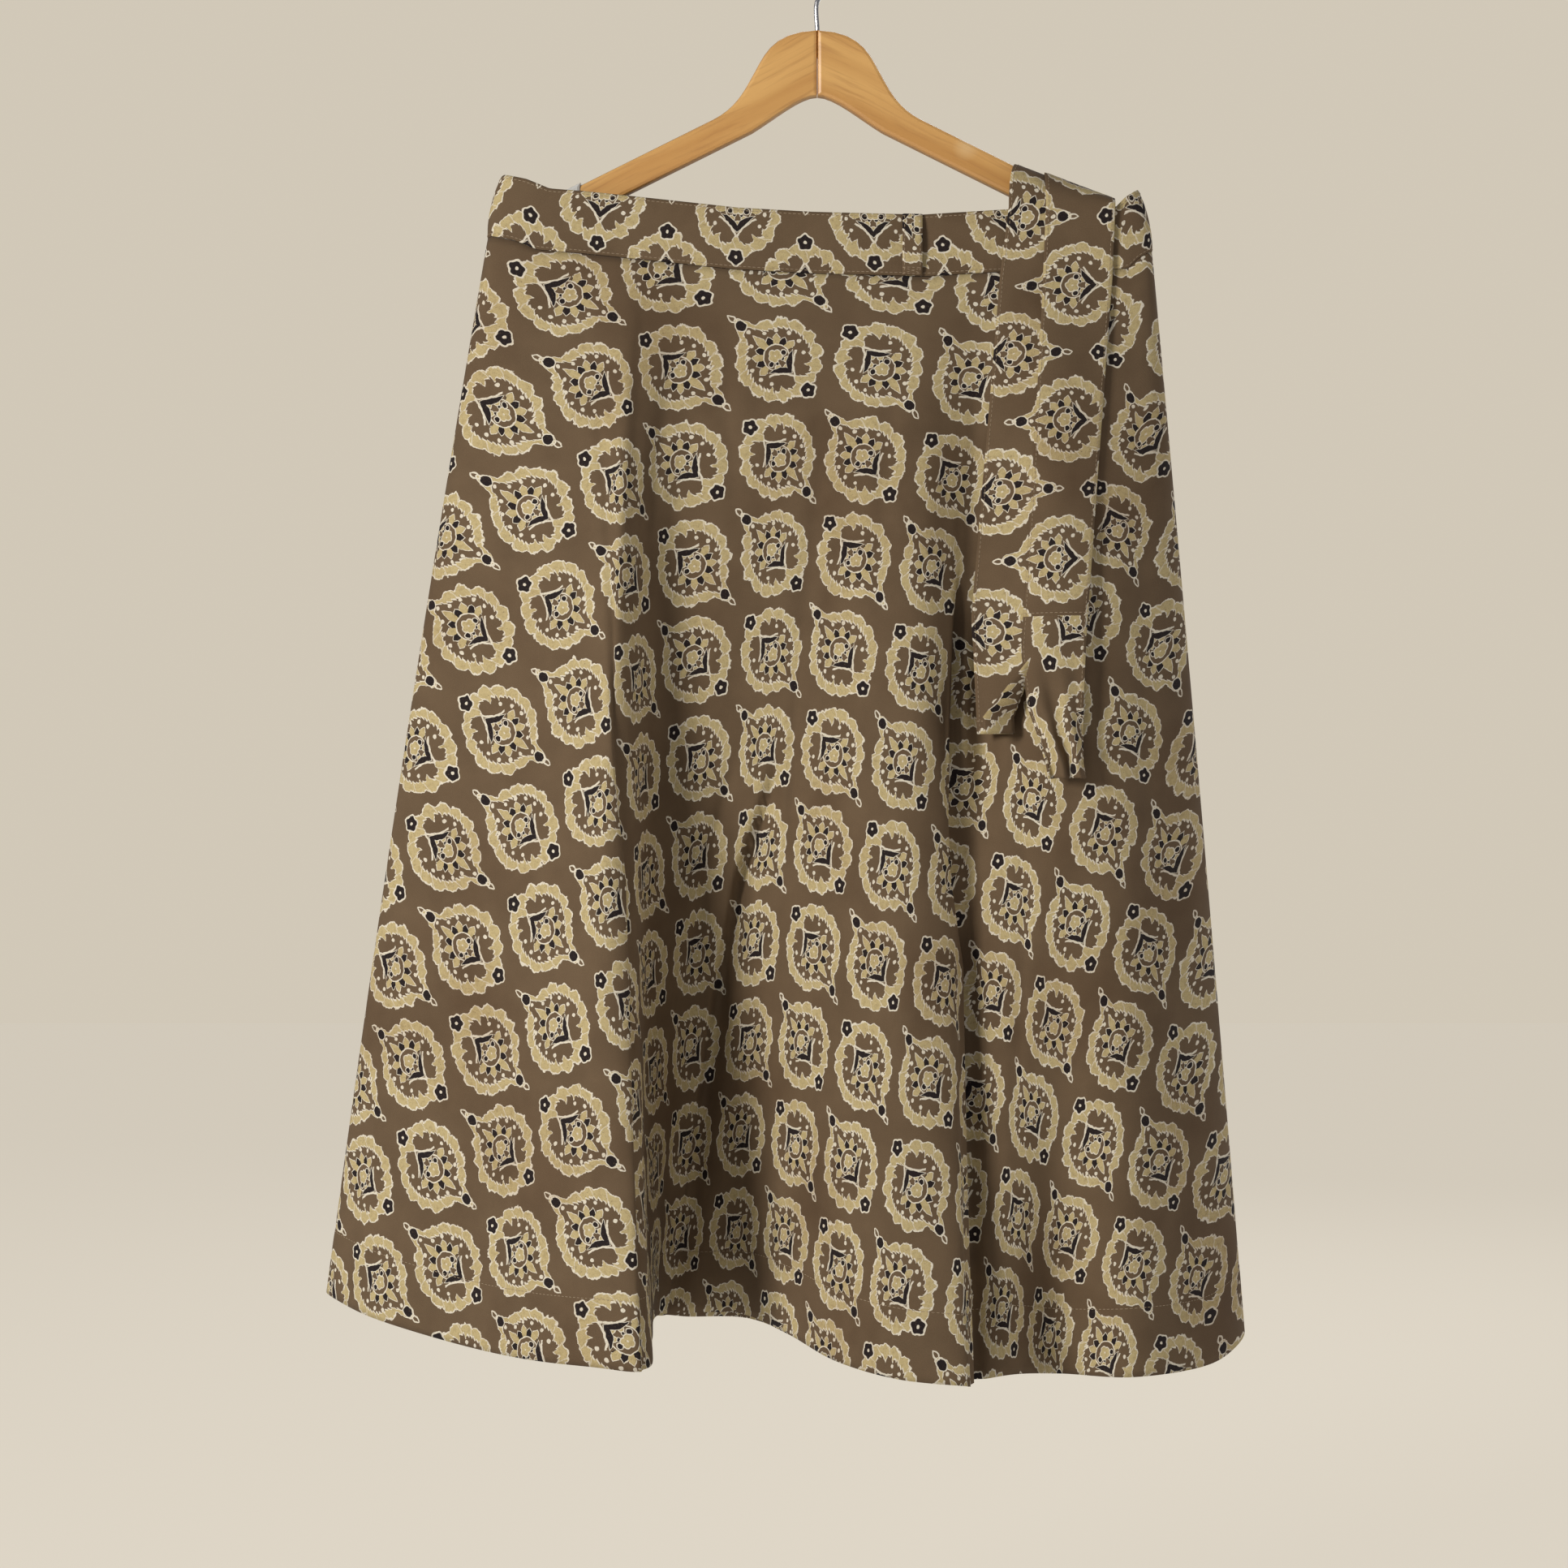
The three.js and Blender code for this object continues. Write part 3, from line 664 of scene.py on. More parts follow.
# How deep the cloth is drawn in at the waist seam and at the hem's stitches, each with its reach, and
# the step where the turned-up hem ends
HEM_HEIGHT = 46.0
SEAM_SINK, SEAM_REACH = 0.15, 4
STITCH_SINK, STITCH_REACH, HEM_STEP = 0.35, 2.5, 0.25


def flare(drop):
    """Width of the cloth at a drop, as a share of CLOTH_WIDTH."""
    return 0.5 + 0.7 * drop


def crease_depth(creases, shares, drop):
    total = np.zeros_like(shares)
    for top, bottom, start, end, half, depth in creases:
        run = np.clip((drop - start) / (end - start), 0, 1)
        middle = top + (bottom - top) * run + 0.004 * np.sin(9 * run + 20 * top)
        away = (shares - middle) * CLOTH_WIDTH * flare(drop) / half
        total += depth * np.sin(np.pi * run) ** 1.5 * np.exp(-away**2)
    return total


def pull_depth(pulls, shares, drop):
    total = np.zeros_like(shares)
    for places, left, right in pulls:
        drops, middles, depths = zip(*places)
        away = (shares - np.interp(drop, drops, middles)) * CLOTH_WIDTH * flare(drop)
        away = np.where(away < 0, away / left, away / right)
        total += np.interp(drop, drops, depths) * np.exp(-away**2)
    return total


def unit_grid(columns, rows):
    """A flat grid from 0 to 1 both ways."""
    bm = bmesh.new()
    bmesh.ops.create_grid(bm, x_segments=columns, y_segments=rows, size=0.5)
    bmesh.ops.translate(bm, verts=bm.verts, vec=(0.5, 0.5, 0))
    return bm


def finish_piece(bm, name, materials):
    mesh = bpy.data.meshes.new(name)
    bm.to_mesh(mesh)
    bm.free()
    mesh.shade_smooth()
    for material in materials:
        mesh.materials.append(material)
    piece = bpy.data.objects.new(name, mesh)
    bpy.context.scene.collection.objects.link(piece)
    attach(piece, "root")
    print(name, "has", len(mesh.polygons), "faces")
    return piece


def shape_grid(bm, columns, rows, places, cloth, facing_back=False, joined=None):
    """Moves a unit grid's vertices to a table of places, and writes the flat cloth as UVs in metres.

    joined is another piece of cloth, sewn on, and the first row that it covers.
    """
    layer = bm.loops.layers.uv.new("cloth")
    keys = {}
    for vertex in bm.verts:
        keys[vertex] = (round(vertex.co.x * columns), round(vertex.co.y * rows))
    for vertex, (i, j) in keys.items():
        vertex.co = places[j][i]
    for face in bm.faces:
        beyond = joined and min(keys[vertex][1] for vertex in face.verts) >= joined[1]
        flat = joined[0] if beyond else cloth
        for loop in face.loops:
            i, j = keys[loop.vert]
            loop[layer].uv = flat[j][i]
    if not facing_back:
        bmesh.ops.reverse_faces(bm, faces=bm.faces)


def thicken(piece, thickness, reverse=True):
    """Gives a sheet its thickness inwards, with the cloth's reverse on the inner side."""
    wall = piece.modifiers.new("thickness", "SOLIDIFY")
    wall.thickness = thickness * MM
    wall.offset = -1.0
    wall.use_even_offset = False
    if reverse:
        wall.material_offset = 1


def panel_places(section, shares_of, creases, pulls, columns, rows, hem_shift, at_back):
    """Where every grid point of a panel goes, from the waist seam to the hem."""
    u = np.linspace(0, 1, columns + 1)
    shares = shares_of(u)
    seam = seam_height(curve_at(section(0.0), u)[:, 0])
    table = []
    for v in np.linspace(0, 1, rows + 1):
        points = section(v)
        place = curve_at(points, u)
        down, up = v * PANEL_DROP, (1 - v) * PANEL_DROP
        sink = crease_depth(creases, shares, v) + pull_depth(pulls, shares, v)
        sink += SEAM_SINK * math.exp(-((down / SEAM_REACH) ** 2))
        sink += STITCH_SINK * math.exp(-(((up - HEM_HEIGHT) / STITCH_REACH) ** 2))
        sink += HEM_STEP if up > HEM_HEIGHT else 0.0
        place[:, :2] += side_normals(points, u) * sink[:, None] * (-1 if at_back else 1)
        place[:, 2] = seam + (place[:, 2] + hem_shift(u) - seam) * v
        table.append(place * MM)
    return np.array(table)


def shares_on(knots):
    """Turns places on the curve back into shares of the cloth's width."""
    return lambda u: np.interp(u * (len(knots) - 1), np.arange(len(knots)), knots)


def shares_by_length(section, drop):
    """Shares that follow the length of the cloth along a section, for a panel with an even print."""
    u = np.linspace(0, 1, 400)
    run = run_along(curve_at(section(drop), u)[:, :2])
    return lambda places: np.interp(places, u, run / run[-1])


def panel_cloth(shares, rows):
    places = [cut_place(shares, v) for v in np.linspace(0, 1, rows + 1)]
    return np.array([np.stack(place, axis=1) for place in places]) * MM


def make_panel(name, node, section, shares_of, creases, pulls, size, cut, hem_shift, at_back=False):
    columns, rows = size
    u = np.linspace(0, 1, columns + 1)
    places = panel_places(section, shares_of, creases, pulls, columns, rows, hem_shift, at_back)
    bm = unit_grid(columns, rows)
    shape_grid(bm, columns, rows, places, panel_cloth(cut[0] + cut[1] * shares_of(u), rows), at_back)
    piece = finish_piece(bm, name, [cotton, cotton_reverse])
    thicken(piece, CLOTH_THICK)
    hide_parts(node)
    return piece, places


# %% [markdown]
# ## Stitches
# Topstitching is thread that dives in and out of the cloth. Each stitch is a small stretched ball laid
# along a path, half sunk in the cloth, with a gap before the next one. The balls are made in small
# packets, because an operator works more slowly the more a mesh already holds.

# %% Stitch maker
STITCH, STITCH_GAP, THREAD, STITCH_LIFT = 2.5, 0.8, 0.5, 0.1
PACKET = 40

thread_material, wires, shader = new_material("sewing thread")
wires.fill(shader, {"Base Color": (0.36, 0.27, 0.17, 1), "Roughness": 0.7})


def sew(name, paths):
    """Stitches along paths, each a table of places in metres and the way out of the cloth there."""
    bm = bmesh.new()
    batch = bmesh.new()
    packet = bpy.data.meshes.new("stitch packet")
    count = 0
    for places, outward in paths:
        run = run_along(places)
        for start in np.arange(0, run[-1] - STITCH * MM, (STITCH + STITCH_GAP) * MM):
            first, last = (
                Vector([np.interp(s, run, places[:, k]) for k in range(3)])
                for s in (start, start + STITCH * MM)
            )
            away = Vector([np.interp(start, run, outward[:, k]) for k in range(3)]).normalized()
            along = last - first
            side = along.cross(away).normalized()
            away = side.cross(along).normalized()
            turned = Matrix((side * THREAD * MM, away * THREAD * MM, along)).transposed().to_4x4()
            place = Matrix.Translation((first + last) / 2 + away * STITCH_LIFT * MM) @ turned
            bmesh.ops.create_uvsphere(batch, u_segments=6, v_segments=4, radius=0.5, matrix=place)
            count += 1
            if count % PACKET == 0:
                batch.to_mesh(packet)
                bm.from_mesh(packet)
                batch.clear()
    batch.to_mesh(packet)
    bm.from_mesh(packet)
    batch.free()
    bpy.data.meshes.remove(packet)
    return finish_piece(bm, name, [thread_material])


def grid_normals(places):
    """Normals of a table of places, from the run along its columns and rows."""
    across = np.gradient(places, axis=1)
    down = np.gradient(places, axis=0)
    found = np.cross(down, across)
    return found / np.maximum(np.linalg.norm(found, axis=2, keepdims=True), 1e-12)


def row_path(places, normals, row):
    """A path along a fractional row of a table, one row number for each column."""
    row = np.broadcast_to(np.asarray(row, float), places.shape[1:2])
    low = np.clip(np.floor(row).astype(int), 0, len(places) - 2)
    part = (row - low)[:, None]
    column = np.arange(places.shape[1])
    return tuple(
        table[low, column] * (1 - part) + table[low + 1, column] * part for table in (places, normals)
    )


def column_path(places, normals, column, first, last):
    """A path down a fractional column of a table, from a first row to a last one."""
    low = min(int(column), places.shape[1] - 2)
    part = column - low
    return tuple(
        (table[:, low] * (1 - part) + table[:, low + 1] * part)[first:last]
        for table in (places, normals)
    )


def rows_up_from_hem(places, height):
    """For each column, the row number at a height above the hem, measured along the cloth."""
    steps = np.linalg.norm(np.diff(places[::-1], axis=0), axis=2)
    run = np.vstack([np.zeros(places.shape[1]), np.cumsum(steps, axis=0)])
    number = np.arange(len(run))
    up = [np.interp(height * MM, run[:, i], number) for i in range(places.shape[1])]
    return len(places) - 1 - np.array(up)


# %% [markdown]
# ## Front, back and underlap
# The outer front laps to the right and ends in a free edge just round the side. The back starts at the
# left seam and slips under that edge. The underlap is the inner front, and shows only below the hem of
# the deep valley. The two that show have a turned-up hem, sewn 46 mm above the edge.

# %% Panels
FRONT_GRID, BACK_GRID, UNDER_GRID = (330, 144), (230, 100), (200, 90)
WHOLE_CUT, BACK_CUT = (0.0, 1.0), (0.063, 0.863)
BACK_EVEN_AT = 0.6


def level_hem(u):
    return 0.0


def under_hem(u):
    """Millimetres that the underlap's hem is raised, with a dip where it peeks out in the valley."""
    return 2.5 - 6.5 * np.exp(-(((u - 0.42) / 0.12) ** 2))


def hem_stitches(name, places, outside):
    normals = grid_normals(places) * outside
    return sew(name, [row_path(places, normals, rows_up_from_hem(places, HEM_HEIGHT))])


front, front_places = make_panel(
    "outer_front", "front_panel", front_section, shares_on([row[0] for row in FRONT]),
    FRONT_CREASES, FRONT_PULLS, FRONT_GRID, WHOLE_CUT, level_hem,
)
front_stitches = hem_stitches("front_hem_stitches", front_places, 1.0)
back, back_places = make_panel(
    "back_cloth", "back_panel", back_section, shares_by_length(back_section, BACK_EVEN_AT),
    BACK_CREASES, [], BACK_GRID, BACK_CUT, level_hem, at_back=True,
)
back_stitches = hem_stitches("back_hem_stitches", back_places, -1.0)
underlap, _ = make_panel(
    "underlap_cloth", "underlap_panel", under_section, shares_on(UNDER_SHARES),
    [], FRONT_PULLS, UNDER_GRID, WHOLE_CUT, under_hem,
)

# %% [markdown]
# ## Waistband
# The band is a doubled strip cut on the bias, so the lattice of the print stands on its corners. Its
# edges are folds, rounded by the cloth's thickness, and a row of stitches pulls a shallow groove about
# 2 mm inside each edge. A profile swept along the seam would give the same shape, but a grid brings the
# flat cloth with it as UVs. A Solidify modifier makes the inner face of the mesh.

# %% Waistband
BAND_ROWS = 28
BAND_PRINT_DOWN, BAND_PRINT_TURN = -4.0, 225
STITCH_IN = 2.1
EDGE_ROUND, EDGE_REACH = 0.45, 1.5
GROOVE, GROOVE_REACH = 0.22, 0.8
PUCKER, PUCKER_IN, PUCKER_REACH = 0.22, 4.5, 3.0
HALF_CELL = PITCH / 2


def turned_cloth(x, y, centre, degrees, cell=0):
    """Flat cloth in metres for a strip, turned about a motif's centre that lands on a lattice cell."""
    turn = math.radians(degrees)
    dx, dy = x - centre[0], y - centre[1]
    across = dx * math.cos(turn) - dy * math.sin(turn) + HALF_CELL + cell * PITCH
    up = dx * math.sin(turn) + dy * math.cos(turn) + HALF_CELL
    return np.stack([across, up], axis=-1) * MM


def edge_sink(from_edge, along, seed):
    """How far a doubled strip's face dips near its folded and stitched edge, in millimetres."""
    rounding = EDGE_ROUND * np.clip(1 - from_edge / EDGE_REACH, 0, 1) ** 2
    groove = GROOVE * np.exp(-(((from_edge - STITCH_IN) / GROOVE_REACH) ** 2))
    pull = 0.5 + 0.5 * np.sin(along / 1.9 + 2.0 * np.sin(along / 13 + seed))
    pucker = PUCKER * pull * np.exp(-(((from_edge - PUCKER_IN) / PUCKER_REACH) ** 2))
    return rounding + groove + pucker


def make_band(name, node, section, columns, outside, thickness, flat_width, motif_x):
    u = np.linspace(0, 1, columns + 1)
    points = section(0.0)
    line = curve_at(points, u)
    inward = side_normals(points, u) * outside
    along = run_along(line[:, :2])
    along = along - np.interp(0.0, line[:, 0], along)
    places, cloth = [], []
    for j in np.linspace(0, 1, BAND_ROWS + 1):
        down = BAND_HEIGHT * j
        sink = edge_sink(min(down, BAND_HEIGHT - down), along, j > 0.5)
        lean = 1 - BAND_LEAN * (1 - j) ** 2
        row = np.stack([
            (line[:, 0] + inward[:, 0] * sink) * lean,
            line[:, 1] + inward[:, 1] * sink,
            band_top(line[:, 0]) - down,
        ], axis=1)
        places.append(row * MM)
        level = np.full_like(along, -down)
        cloth.append(turned_cloth(along, level, (motif_x, BAND_PRINT_DOWN), BAND_PRINT_TURN))
    places = np.array(places)
    bm = unit_grid(columns, BAND_ROWS)
    shape_grid(bm, columns, BAND_ROWS, places, cloth, facing_back=outside < 0)
    piece = finish_piece(bm, name, [cotton])
    thicken(piece, thickness, reverse=False)
    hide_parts(node)
    normals = grid_normals(places) * outside
    pitch = BAND_HEIGHT / BAND_ROWS
    rows = [STITCH_IN / pitch, BAND_ROWS - STITCH_IN / pitch]
    stitches = sew(name + "_stitches", [row_path(places, normals, row) for row in rows])


# Name, node, section, columns, outer side, thickness, flat width in metres, place of a motif
for band in (
    ("band_front", "waistband_front", front_section, 360, 1.0, 2.0, 0.53, 38.9),
    ("band_back", "waistband_back", back_section, 230, -1.0, 2.0, 0.46, 20.0),
    ("band_underlap", "waistband_underlap", under_section, 180, 1.0, 1.4, 0.46, 60.0),
):
    make_band(*band)

# %% [markdown]
# ## Where a tie hangs
# Each tie is a folded strip that comes up behind the hanger's arm, turns over it and hangs down the
# front. The tables give the hanging part as seen from the front: height, left edge and width. Behind
# it lies the skirt, so the depth of the smooth front is looked up first, and the tie keeps its
# distance from that. The short tie ends with a corner turned behind it, the long one in two pleats.

# %% Tie tables
TIE_A = [(-150, 140, 48.5), (-191, 133, 48.5), (-238, 127, 48.5), (-478, 105, 48.5), (-558, 108, 48.5)]
TIE_B = [
    (-150, 160, 48.5), (-191, 159, 48.5), (-238, 157, 48.5), (-478, 139, 43), (-501, 137, 43),
    (-540, 140.5, 37), (-578, 153, 24), (-588, 154, 25),
]
TIE_A_LIFT, TIE_B_LIFT, TIE_THICK, TIE_FLAT = 0.7, 2.6, 1.4, 48.5
WAVES_FROM, CLEAR_FROM, CORNER_FROM, PLEATS_FROM = -250, -448, -486, -492
CORNER_SLOPE, CORNER_LEFT, FOLD_RADIUS = 0.42, 23.0, 1.7


def front_depth(x, z):
    """Depth of the smooth outer front behind places seen from the front, in millimetres."""
    u = places_of(FRONT, np.linspace(0.5, 1.0, 240))
    levels, depths = [], []
    top = seam_height(curve_at(front_section(0.0), u)[:, 0])
    for v in np.linspace(0, 1, 60):
        line = curve_at(front_section(v), u)
        height = top + (line[:, 2] - top) * v
        levels.append(np.interp(x, line[:, 0], height))
        depths.append(np.interp(x, line[:, 0], line[:, 1]))
    levels, depths = np.array(levels)[::-1], np.array(depths)[::-1]
    return np.array([np.interp(z[i], levels[:, i], depths[:, i]) for i in range(len(x))])


def tie_column(table, level, which):
    """Left edge or width of a tie at a height."""
    heights = [row[0] for row in table][::-1]
    return np.interp(level, heights, [row[which] for row in table][::-1])


def hang_wave(x, z):
    """Soft waves that both ties share, always outwards from the panel behind them."""
    drop = np.clip((WAVES_FROM - z) / 300, 0, 1)
    wave = np.sin(z / 31 + x / 19) + 0.6 * np.sin(z / 17 - x / 11 + 1.0)
    return drop * (1.6 + wave)


def hang_away(z):
    """Both ties hang a few millimetres clear of the skirt below the join's height."""
    return 5.2 * np.clip((CLEAR_FROM - z) / 55, 0, 1) ** 1.5


def folded_back(x, z, w):
    """The short tie's lower right corner is turned behind it, along a slanting fold line."""
    fold = np.clip(TIE_FLAT - (CORNER_FROM - z) * CORNER_SLOPE, CORNER_LEFT, TIE_FLAT)
    past = w * TIE_FLAT - fold
    turn = np.clip(past / FOLD_RADIUS, 0, math.pi)
    behind = np.maximum(past - math.pi * FOLD_RADIUS, 0)
    left = x - w * TIE_FLAT
    bent = left + fold + FOLD_RADIUS * np.sin(turn) - behind
    deeper = FOLD_RADIUS * (1 - np.cos(turn))
    return np.where(past > 0, bent, x), np.where(past > 0, deeper, 0.0)


def crumpled(z, w):
    """The long tie's end is bunched into two lengthwise pleats, in millimetres out of the strip."""
    much = np.clip((PLEATS_FROM - z) / 70, 0, 1) ** 1.3
    return much * (3.6 + 3.4 * np.sin(13.5 * w + (z + 500) / 26.0) + 0.8 * np.sin(z / 5.0 + 9 * w))


print("ties reach down to", TIE_A[-1][0], "and", TIE_B[-1][0], "mm")

# %% [markdown]
# ## Making a tie
# The strip is worked out row by row: a straight climb behind the arm, two quarter turns over it, then
# down the front of the band and the panel. That keeps its width and its print exact, where a
# simulated ribbon would slip. Where the long tie is joined, the print below the join comes from
# another piece of cloth, so those faces take their UVs from a second table.

# %% Tie maker
RIDGE_X, RIDGE_Z, RIDGE_SLOPE = 139, -157, 0.393
HALF_DEPTH, HALF_HEIGHT, TIE_FOOT = 7.4, 4.4, -234
TIE_COLUMNS, BEHIND_ROWS, TURN_ROWS, STRIP_ROW = 24, 20, 10, 2.2
JOIN_LEVEL, BIAS = -478, -45


def tie_table(table, lift, folded=False):
    w = np.linspace(0, 1, TIE_COLUMNS + 1)
    off = lift + TIE_THICK
    foot = table[-1][0]
    arm_x = table[0][1] + w * table[0][2]
    arm_z = RIDGE_Z - (arm_x - RIDGE_X) * RIDGE_SLOPE
    centre = arm_z - HALF_HEIGHT
    edge_in = edge_sink(np.minimum(w, 1 - w) * TIE_FLAT, arm_x, lift)
    rows = []
    for k in range(BEHIND_ROWS):
        z = TIE_FOOT + (centre - TIE_FOOT) * k / BEHIND_ROWS
        rows.append((arm_x, HALF_DEPTH + off - edge_in, z))
    for k in range(TURN_ROWS):
        turn = math.pi / 2 * k / TURN_ROWS
        rise = (HALF_HEIGHT + off - edge_in) * math.sin(turn)
        out = (HALF_DEPTH + off) * math.cos(turn) - edge_in * math.cos(turn)
        rows.append((arm_x, out, centre + rise))
    band_edge = band_top(arm_x / (1 - BAND_LEAN)) + 1
    low_x = tie_column(table, band_edge, 1) + w * tie_column(table, band_edge, 2)
    for k in range(TURN_ROWS):
        turn = math.pi / 2 * k / TURN_ROWS
        x = arm_x + (low_x - arm_x) * math.sin(turn)
        z = band_edge + (arm_z + off - edge_in * math.cos(turn) - band_edge) * math.cos(turn)
        rows.append((x, (front_depth(x, band_edge) - off + edge_in) * math.sin(turn), z))
    first_hung = len(rows)
    span = band_edge - foot
    strips = int(round(float(span.mean()) / STRIP_ROW))
    for k in range(strips + 1):
        z = band_edge - span * k / strips
        x = tie_column(table, z, 1) + w * tie_column(table, z, 2)
        sink = edge_sink(np.minimum(w, 1 - w) * TIE_FLAT, z, lift)
        y = front_depth(x, z) - off + sink - hang_wave(x, z) - hang_away(z)
        if folded:
            x, deeper = folded_back(x, z, w)
            y = y + deeper
        else:
            y = y - crumpled(z, w)
        rows.append((x, y, z))
    return np.array([np.stack(row, axis=1) for row in rows]) * MM, first_hung


def tie_drop(places, first_hung):
    """Height that the flat strip has beside each row: the height itself in front, arc length above."""
    middle = places[:, TIE_COLUMNS // 2] / MM
    run = run_along(middle)
    above = middle[first_hung, 2] + run[first_hung] - run
    return np.where(np.arange(len(run)) < first_hung, above, middle[:, 2])


def make_tie(name, node, table, lift, centre, cell, crosswise, lower=None):
    places, first_hung = tie_table(table, lift, folded=not lower)
    rows = len(places) - 1
    levels = tie_drop(places, first_hung)
    w = np.linspace(0, TIE_FLAT, TIE_COLUMNS + 1)
    cloth = [turned_cloth(w, np.full_like(w, level), centre, BIAS, cell) for level in levels]
    joined = None
    if lower:
        below = [turned_cloth(w, np.full_like(w, level), *lower) for level in levels]
        joined = (below, int(np.argmin(np.abs(levels - JOIN_LEVEL))))
    bm = unit_grid(TIE_COLUMNS, rows)
    shape_grid(bm, TIE_COLUMNS, rows, places, cloth, joined=joined)
    piece = finish_piece(bm, name, [cotton])
    thicken(piece, TIE_THICK, reverse=False)
    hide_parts(node)
    normals = grid_normals(places)
    pitch = TIE_FLAT / TIE_COLUMNS
    edges = [STITCH_IN / pitch, TIE_COLUMNS - STITCH_IN / pitch]
    paths = [column_path(places, normals, edge, BEHIND_ROWS, rows + 1) for edge in edges]
    paths += [row_path(places, normals, int(np.argmin(np.abs(levels - level)))) for level in crosswise]
    stitches = sew(name + "_stitches", paths)


make_tie("tie_short", "tie_under", TIE_A, TIE_A_LIFT, (10.0, -196.0), 0, [-550])
make_tie("tie_long", "tie_over", TIE_B, TIE_B_LIFT, (24.5, -244.0), 1, [-475.5],
         lower=((36.0, -484.3), -102.7))

# %% [markdown]
# ## Belt loop
# A narrow strip sewn over the band at its top and bottom, bowed off it between, so that a tie can pass.
# The stitches at its lower end form a box with a cross.

# %% Belt loop
LOOP_LEFT, LOOP_WIDTH, LOOP_THICK, LOOP_SEAT, LOOP_RISE = 59, 14, 1.2, 0.3, 3
LOOP_ROUND, LOOP_REACH, LOOP_LENGTH = 0.5, 1.8, 0.046
LOOP_GRID, LOOP_MOTIF = (8, 36), (67.5, -4.5)
LOOP_SIDES, TOP_ROW, BOX_ROWS = (0.9, 7.1), 1.5, (31.5, 35)
CROSS_STEP, CROSS_HEIGHT = 0.43, 3.44

across = np.linspace(0, 1, LOOP_GRID[0] + 1)
x = LOOP_LEFT + across * LOOP_WIDTH
rounded = LOOP_ROUND * np.clip(1 - np.minimum(across, 1 - across) * LOOP_WIDTH / LOOP_REACH, 0, 1) ** 2
loop_places, loop_cloth = [], []
for k in np.linspace(0, 1, LOOP_GRID[1] + 1):
    z = band_top(x) - BAND_HEIGHT * k
    off = LOOP_SEAT + LOOP_THICK + LOOP_RISE * math.sin(math.pi * k) ** 0.6 - rounded
    loop_places.append(np.stack([x, front_depth(x, band_top(x)) - off, z], axis=1) * MM)
    loop_cloth.append(turned_cloth(x, np.full_like(x, -BAND_HEIGHT * k), LOOP_MOTIF, BIAS))
loop_places = np.array(loop_places)
bm = unit_grid(*LOOP_GRID)
shape_grid(bm, *LOOP_GRID, loop_places, loop_cloth)
loop = finish_piece(bm, "loop", [cotton])
thicken(loop, LOOP_THICK, reverse=False)
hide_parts("belt_loop")
loop_normals = grid_normals(loop_places)
loop_paths = [
    column_path(loop_places, loop_normals, column, 1, LOOP_GRID[1]) for column in LOOP_SIDES
]
rise = np.arange(LOOP_GRID[0] + 1) * CROSS_STEP
cross_rows = (TOP_ROW, *BOX_ROWS, BOX_ROWS[0] + rise, BOX_ROWS[0] + CROSS_HEIGHT - rise)
loop_paths += [row_path(loop_places, loop_normals, row) for row in cross_rows]
loop_stitches = sew("loop_stitches", loop_paths)

# %% [markdown]
# ## Hanger finishes
# The hanger keeps its CAD solids. Its wood is varnished and pale orange, with the grain running along
# each arm, so the grain's noise is stretched along a slanted axis that is mirrored at the middle. The
# sleeves on its ends are milky plastic, a little uneven, and the hook is plated wire.

# %% Wood, grip and steel
ARM_ANGLE = math.atan(0.498)
WOOD_PALE, WOOD_WARM = (0.78, 0.44, 0.14, 1), (0.62, 0.31, 0.085, 1)
WOOD_LINE, WOOD_KNOT = (0.42, 0.18, 0.05, 1), (0.86, 0.60, 0.30, 1)
KNOT_PLACE = (0.1046, -0.0055, -0.1449)

wood, wires, shader = new_material("varnished wood")
place = wires.node("ShaderNodeTexCoord").outputs["Object"]
x, y, z = wires.split(place)
from_middle = abs(x)
along = from_middle * math.cos(ARM_ANGLE) - z * math.sin(ARM_ANGLE)
across = from_middle * math.sin(ARM_ANGLE) + z * math.cos(ARM_ANGLE)
grain = wires.node("ShaderNodeCombineXYZ")
wires.fill(grain, {
    0: along * 0.06,
    1: wires.noise(place, 9.0, 2.0) * 0.012 + across,
    2: y * 0.6 + wires.math("SIGN", x),
})
lines = wires.noise(grain.outputs[0], 330.0, 4.0, 0.6)
broad = wires.noise(grain.outputs[0], 60.0, 2.0, 0.5)
knot = wires.fill(wires.node("ShaderNodeVectorMath", operation="DISTANCE"), {0: place, 1: KNOT_PLACE})
pale = 1.0 - wires.ramp(knot.outputs["Value"], 0.002, 0.010)
tone = wires.mix(wires.ramp(broad, 0.35, 0.7), WOOD_PALE, WOOD_WARM)
tone = wires.mix(wires.ramp(lines, 0.5, 0.72) * 0.45, tone, WOOD_LINE)
tone = wires.mix(pale * 0.5, tone, WOOD_KNOT)
wires.fill(shader, {"Base Color": tone, "Roughness": 0.45, "Coat Weight": 0.5, "Coat Roughness": 0.2})

rubber, wires, shader = new_material("anti-slip sleeve")
worn = wires.noise(wires.node("ShaderNodeTexCoord").outputs["Object"], 120.0, 3.0)
milky = wires.mix(worn, (0.72, 0.71, 0.67, 1), (0.60, 0.59, 0.55, 1))
wires.fill(shader, {"Base Color": milky, "Roughness": 0.65})

steel, wires, shader = new_material("plated steel")
brushed = wires.noise(wires.node("ShaderNodeTexCoord").outputs["Object"], 400.0, 2.0)
wires.fill(shader, {
    "Base Color": (0.66, 0.66, 0.67, 1), "Metallic": 1.0, "Roughness": brushed * 0.15 + 0.18,
})


def refinish(node, material):
    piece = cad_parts[node]
    piece.data.materials.clear()
    piece.data.materials.append(material)


for side_name in ("left", "right"):
    refinish("hanger_wood_" + side_name, wood)
    refinish("hanger_grip_" + side_name, rubber)
refinish("hanger_hook", steel)
print("hanger finished")

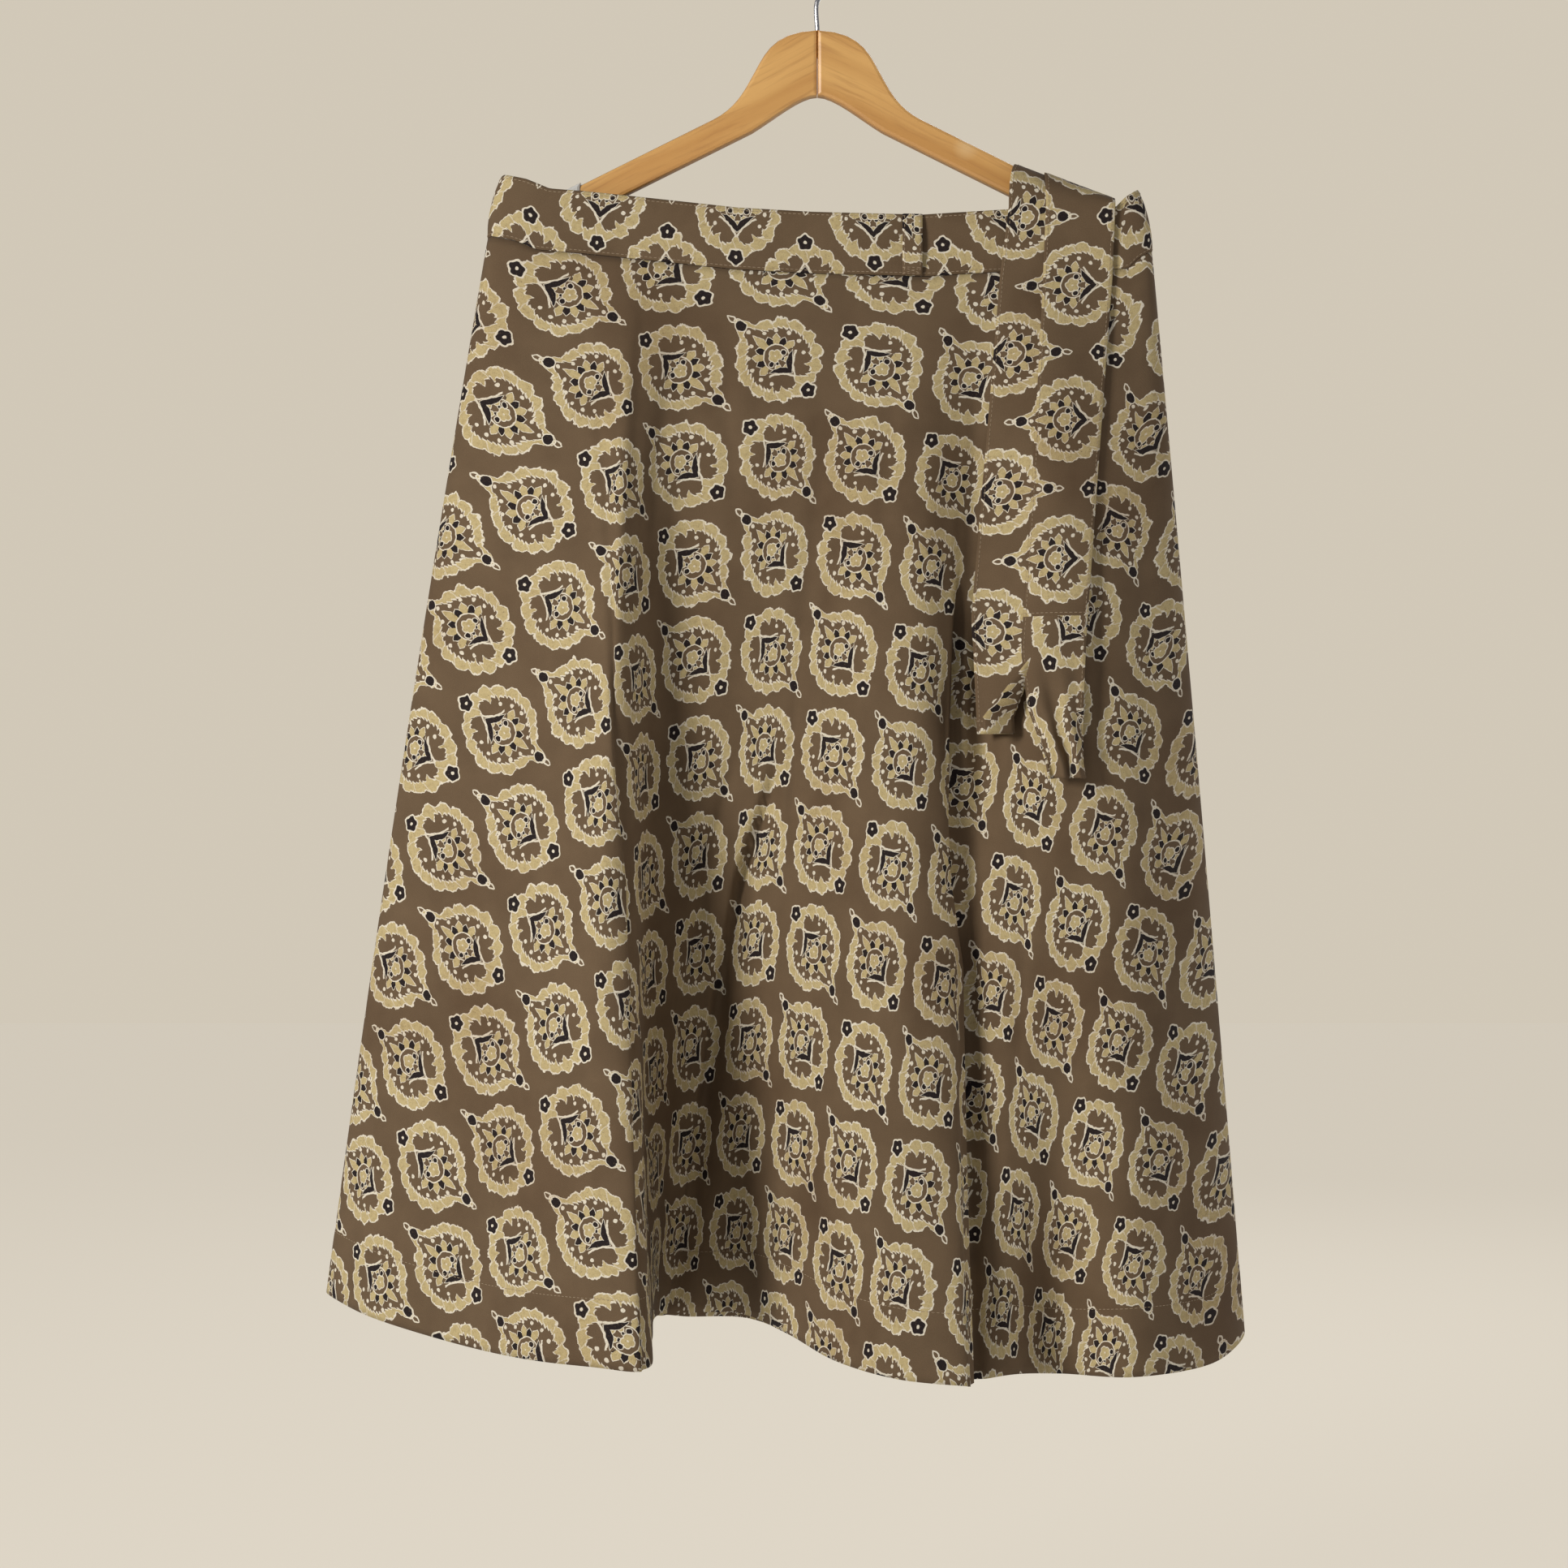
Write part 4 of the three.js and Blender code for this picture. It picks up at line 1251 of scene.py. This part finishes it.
# %% [markdown]
# ## Room and light
# A plain pale room: a floor well below the hem, a main lamp from the left and in front, which leaves
# the right-hand walls of the folds in shade, a weak one from the right, and one behind for the back.
# The camera sees world and floor in one pale tone, while the light that they throw on the skirt stays
# weak. A Light Path node tells what the camera sees from what lights the skirt.

# %% Stage and lamps
FLOOR_LEVEL, FLOOR_SIZE, FLOOR_GLOW = -1.35, 14.0, 0.93
BACKDROP = (0.64, 0.58, 0.48, 1)


def stage_plane(name, size, place):
    bm = bmesh.new()
    bmesh.ops.create_grid(bm, x_segments=1, y_segments=1, size=size / 2)
    mesh = bpy.data.meshes.new(name)
    bm.to_mesh(mesh)
    bm.free()
    plane = bpy.data.objects.new(name, mesh)
    plane.location = place
    bpy.context.scene.collection.objects.link(plane)
    return plane


FLOOR_SEEN, FLOOR_LIT = (0.22, 0.21, 0.19, 1), (0.80, 0.79, 0.77, 1)
ROOM_LIGHT = (0.17, 0.17, 0.18, 1)

floor_material, wires, shader = new_material("studio floor")
looked_at = wires.node("ShaderNodeLightPath").outputs["Is Camera Ray"]
wires.fill(shader, {
    "Base Color": wires.mix(looked_at, FLOOR_LIT, FLOOR_SEEN),
    "Emission Color": BACKDROP,
    "Emission Strength": Flow(wires, looked_at) * FLOOR_GLOW,
    "Roughness": 0.9,
})
floor = stage_plane("floor", FLOOR_SIZE, (0, 0, FLOOR_LEVEL))
floor.data.materials.append(floor_material)

world = bpy.data.worlds.new("studio")
world.use_nodes = True
wires = Wires(world.node_tree)
looked_at = wires.node("ShaderNodeLightPath").outputs["Is Camera Ray"]
seen = wires.mix(looked_at, ROOM_LIGHT, BACKDROP)
wires.fill(world.node_tree.nodes["Background"], {"Strength": 1.0, "Color": seen})
bpy.context.scene.world = world


def lamp(name, place, aim, size, power, tint=(1, 1, 1)):
    data = bpy.data.lights.new(name, "AREA")
    data.size = size
    data.energy = power
    data.color = tint
    made = bpy.data.objects.new(name, data)
    made.location = place
    made.rotation_euler = (Vector(aim) - Vector(place)).to_track_quat("-Z", "Y").to_euler()
    bpy.context.scene.collection.objects.link(made)


lamp("key", (-2.1, -2.1, 0.1), (0, 0, -0.6), 0.8, 66, (1.0, 0.97, 0.93))
lamp("side", (2.6, -0.6, -0.4), (0, 0, -0.6), 1.0, 16, (1.0, 0.96, 0.92))
lamp("back", (0.6, 2.4, 0.8), (0, 0, -0.5), 2.0, 22)
bpy.context.scene.view_settings.view_transform = "Standard"
print("lamps:", len(bpy.data.lights))
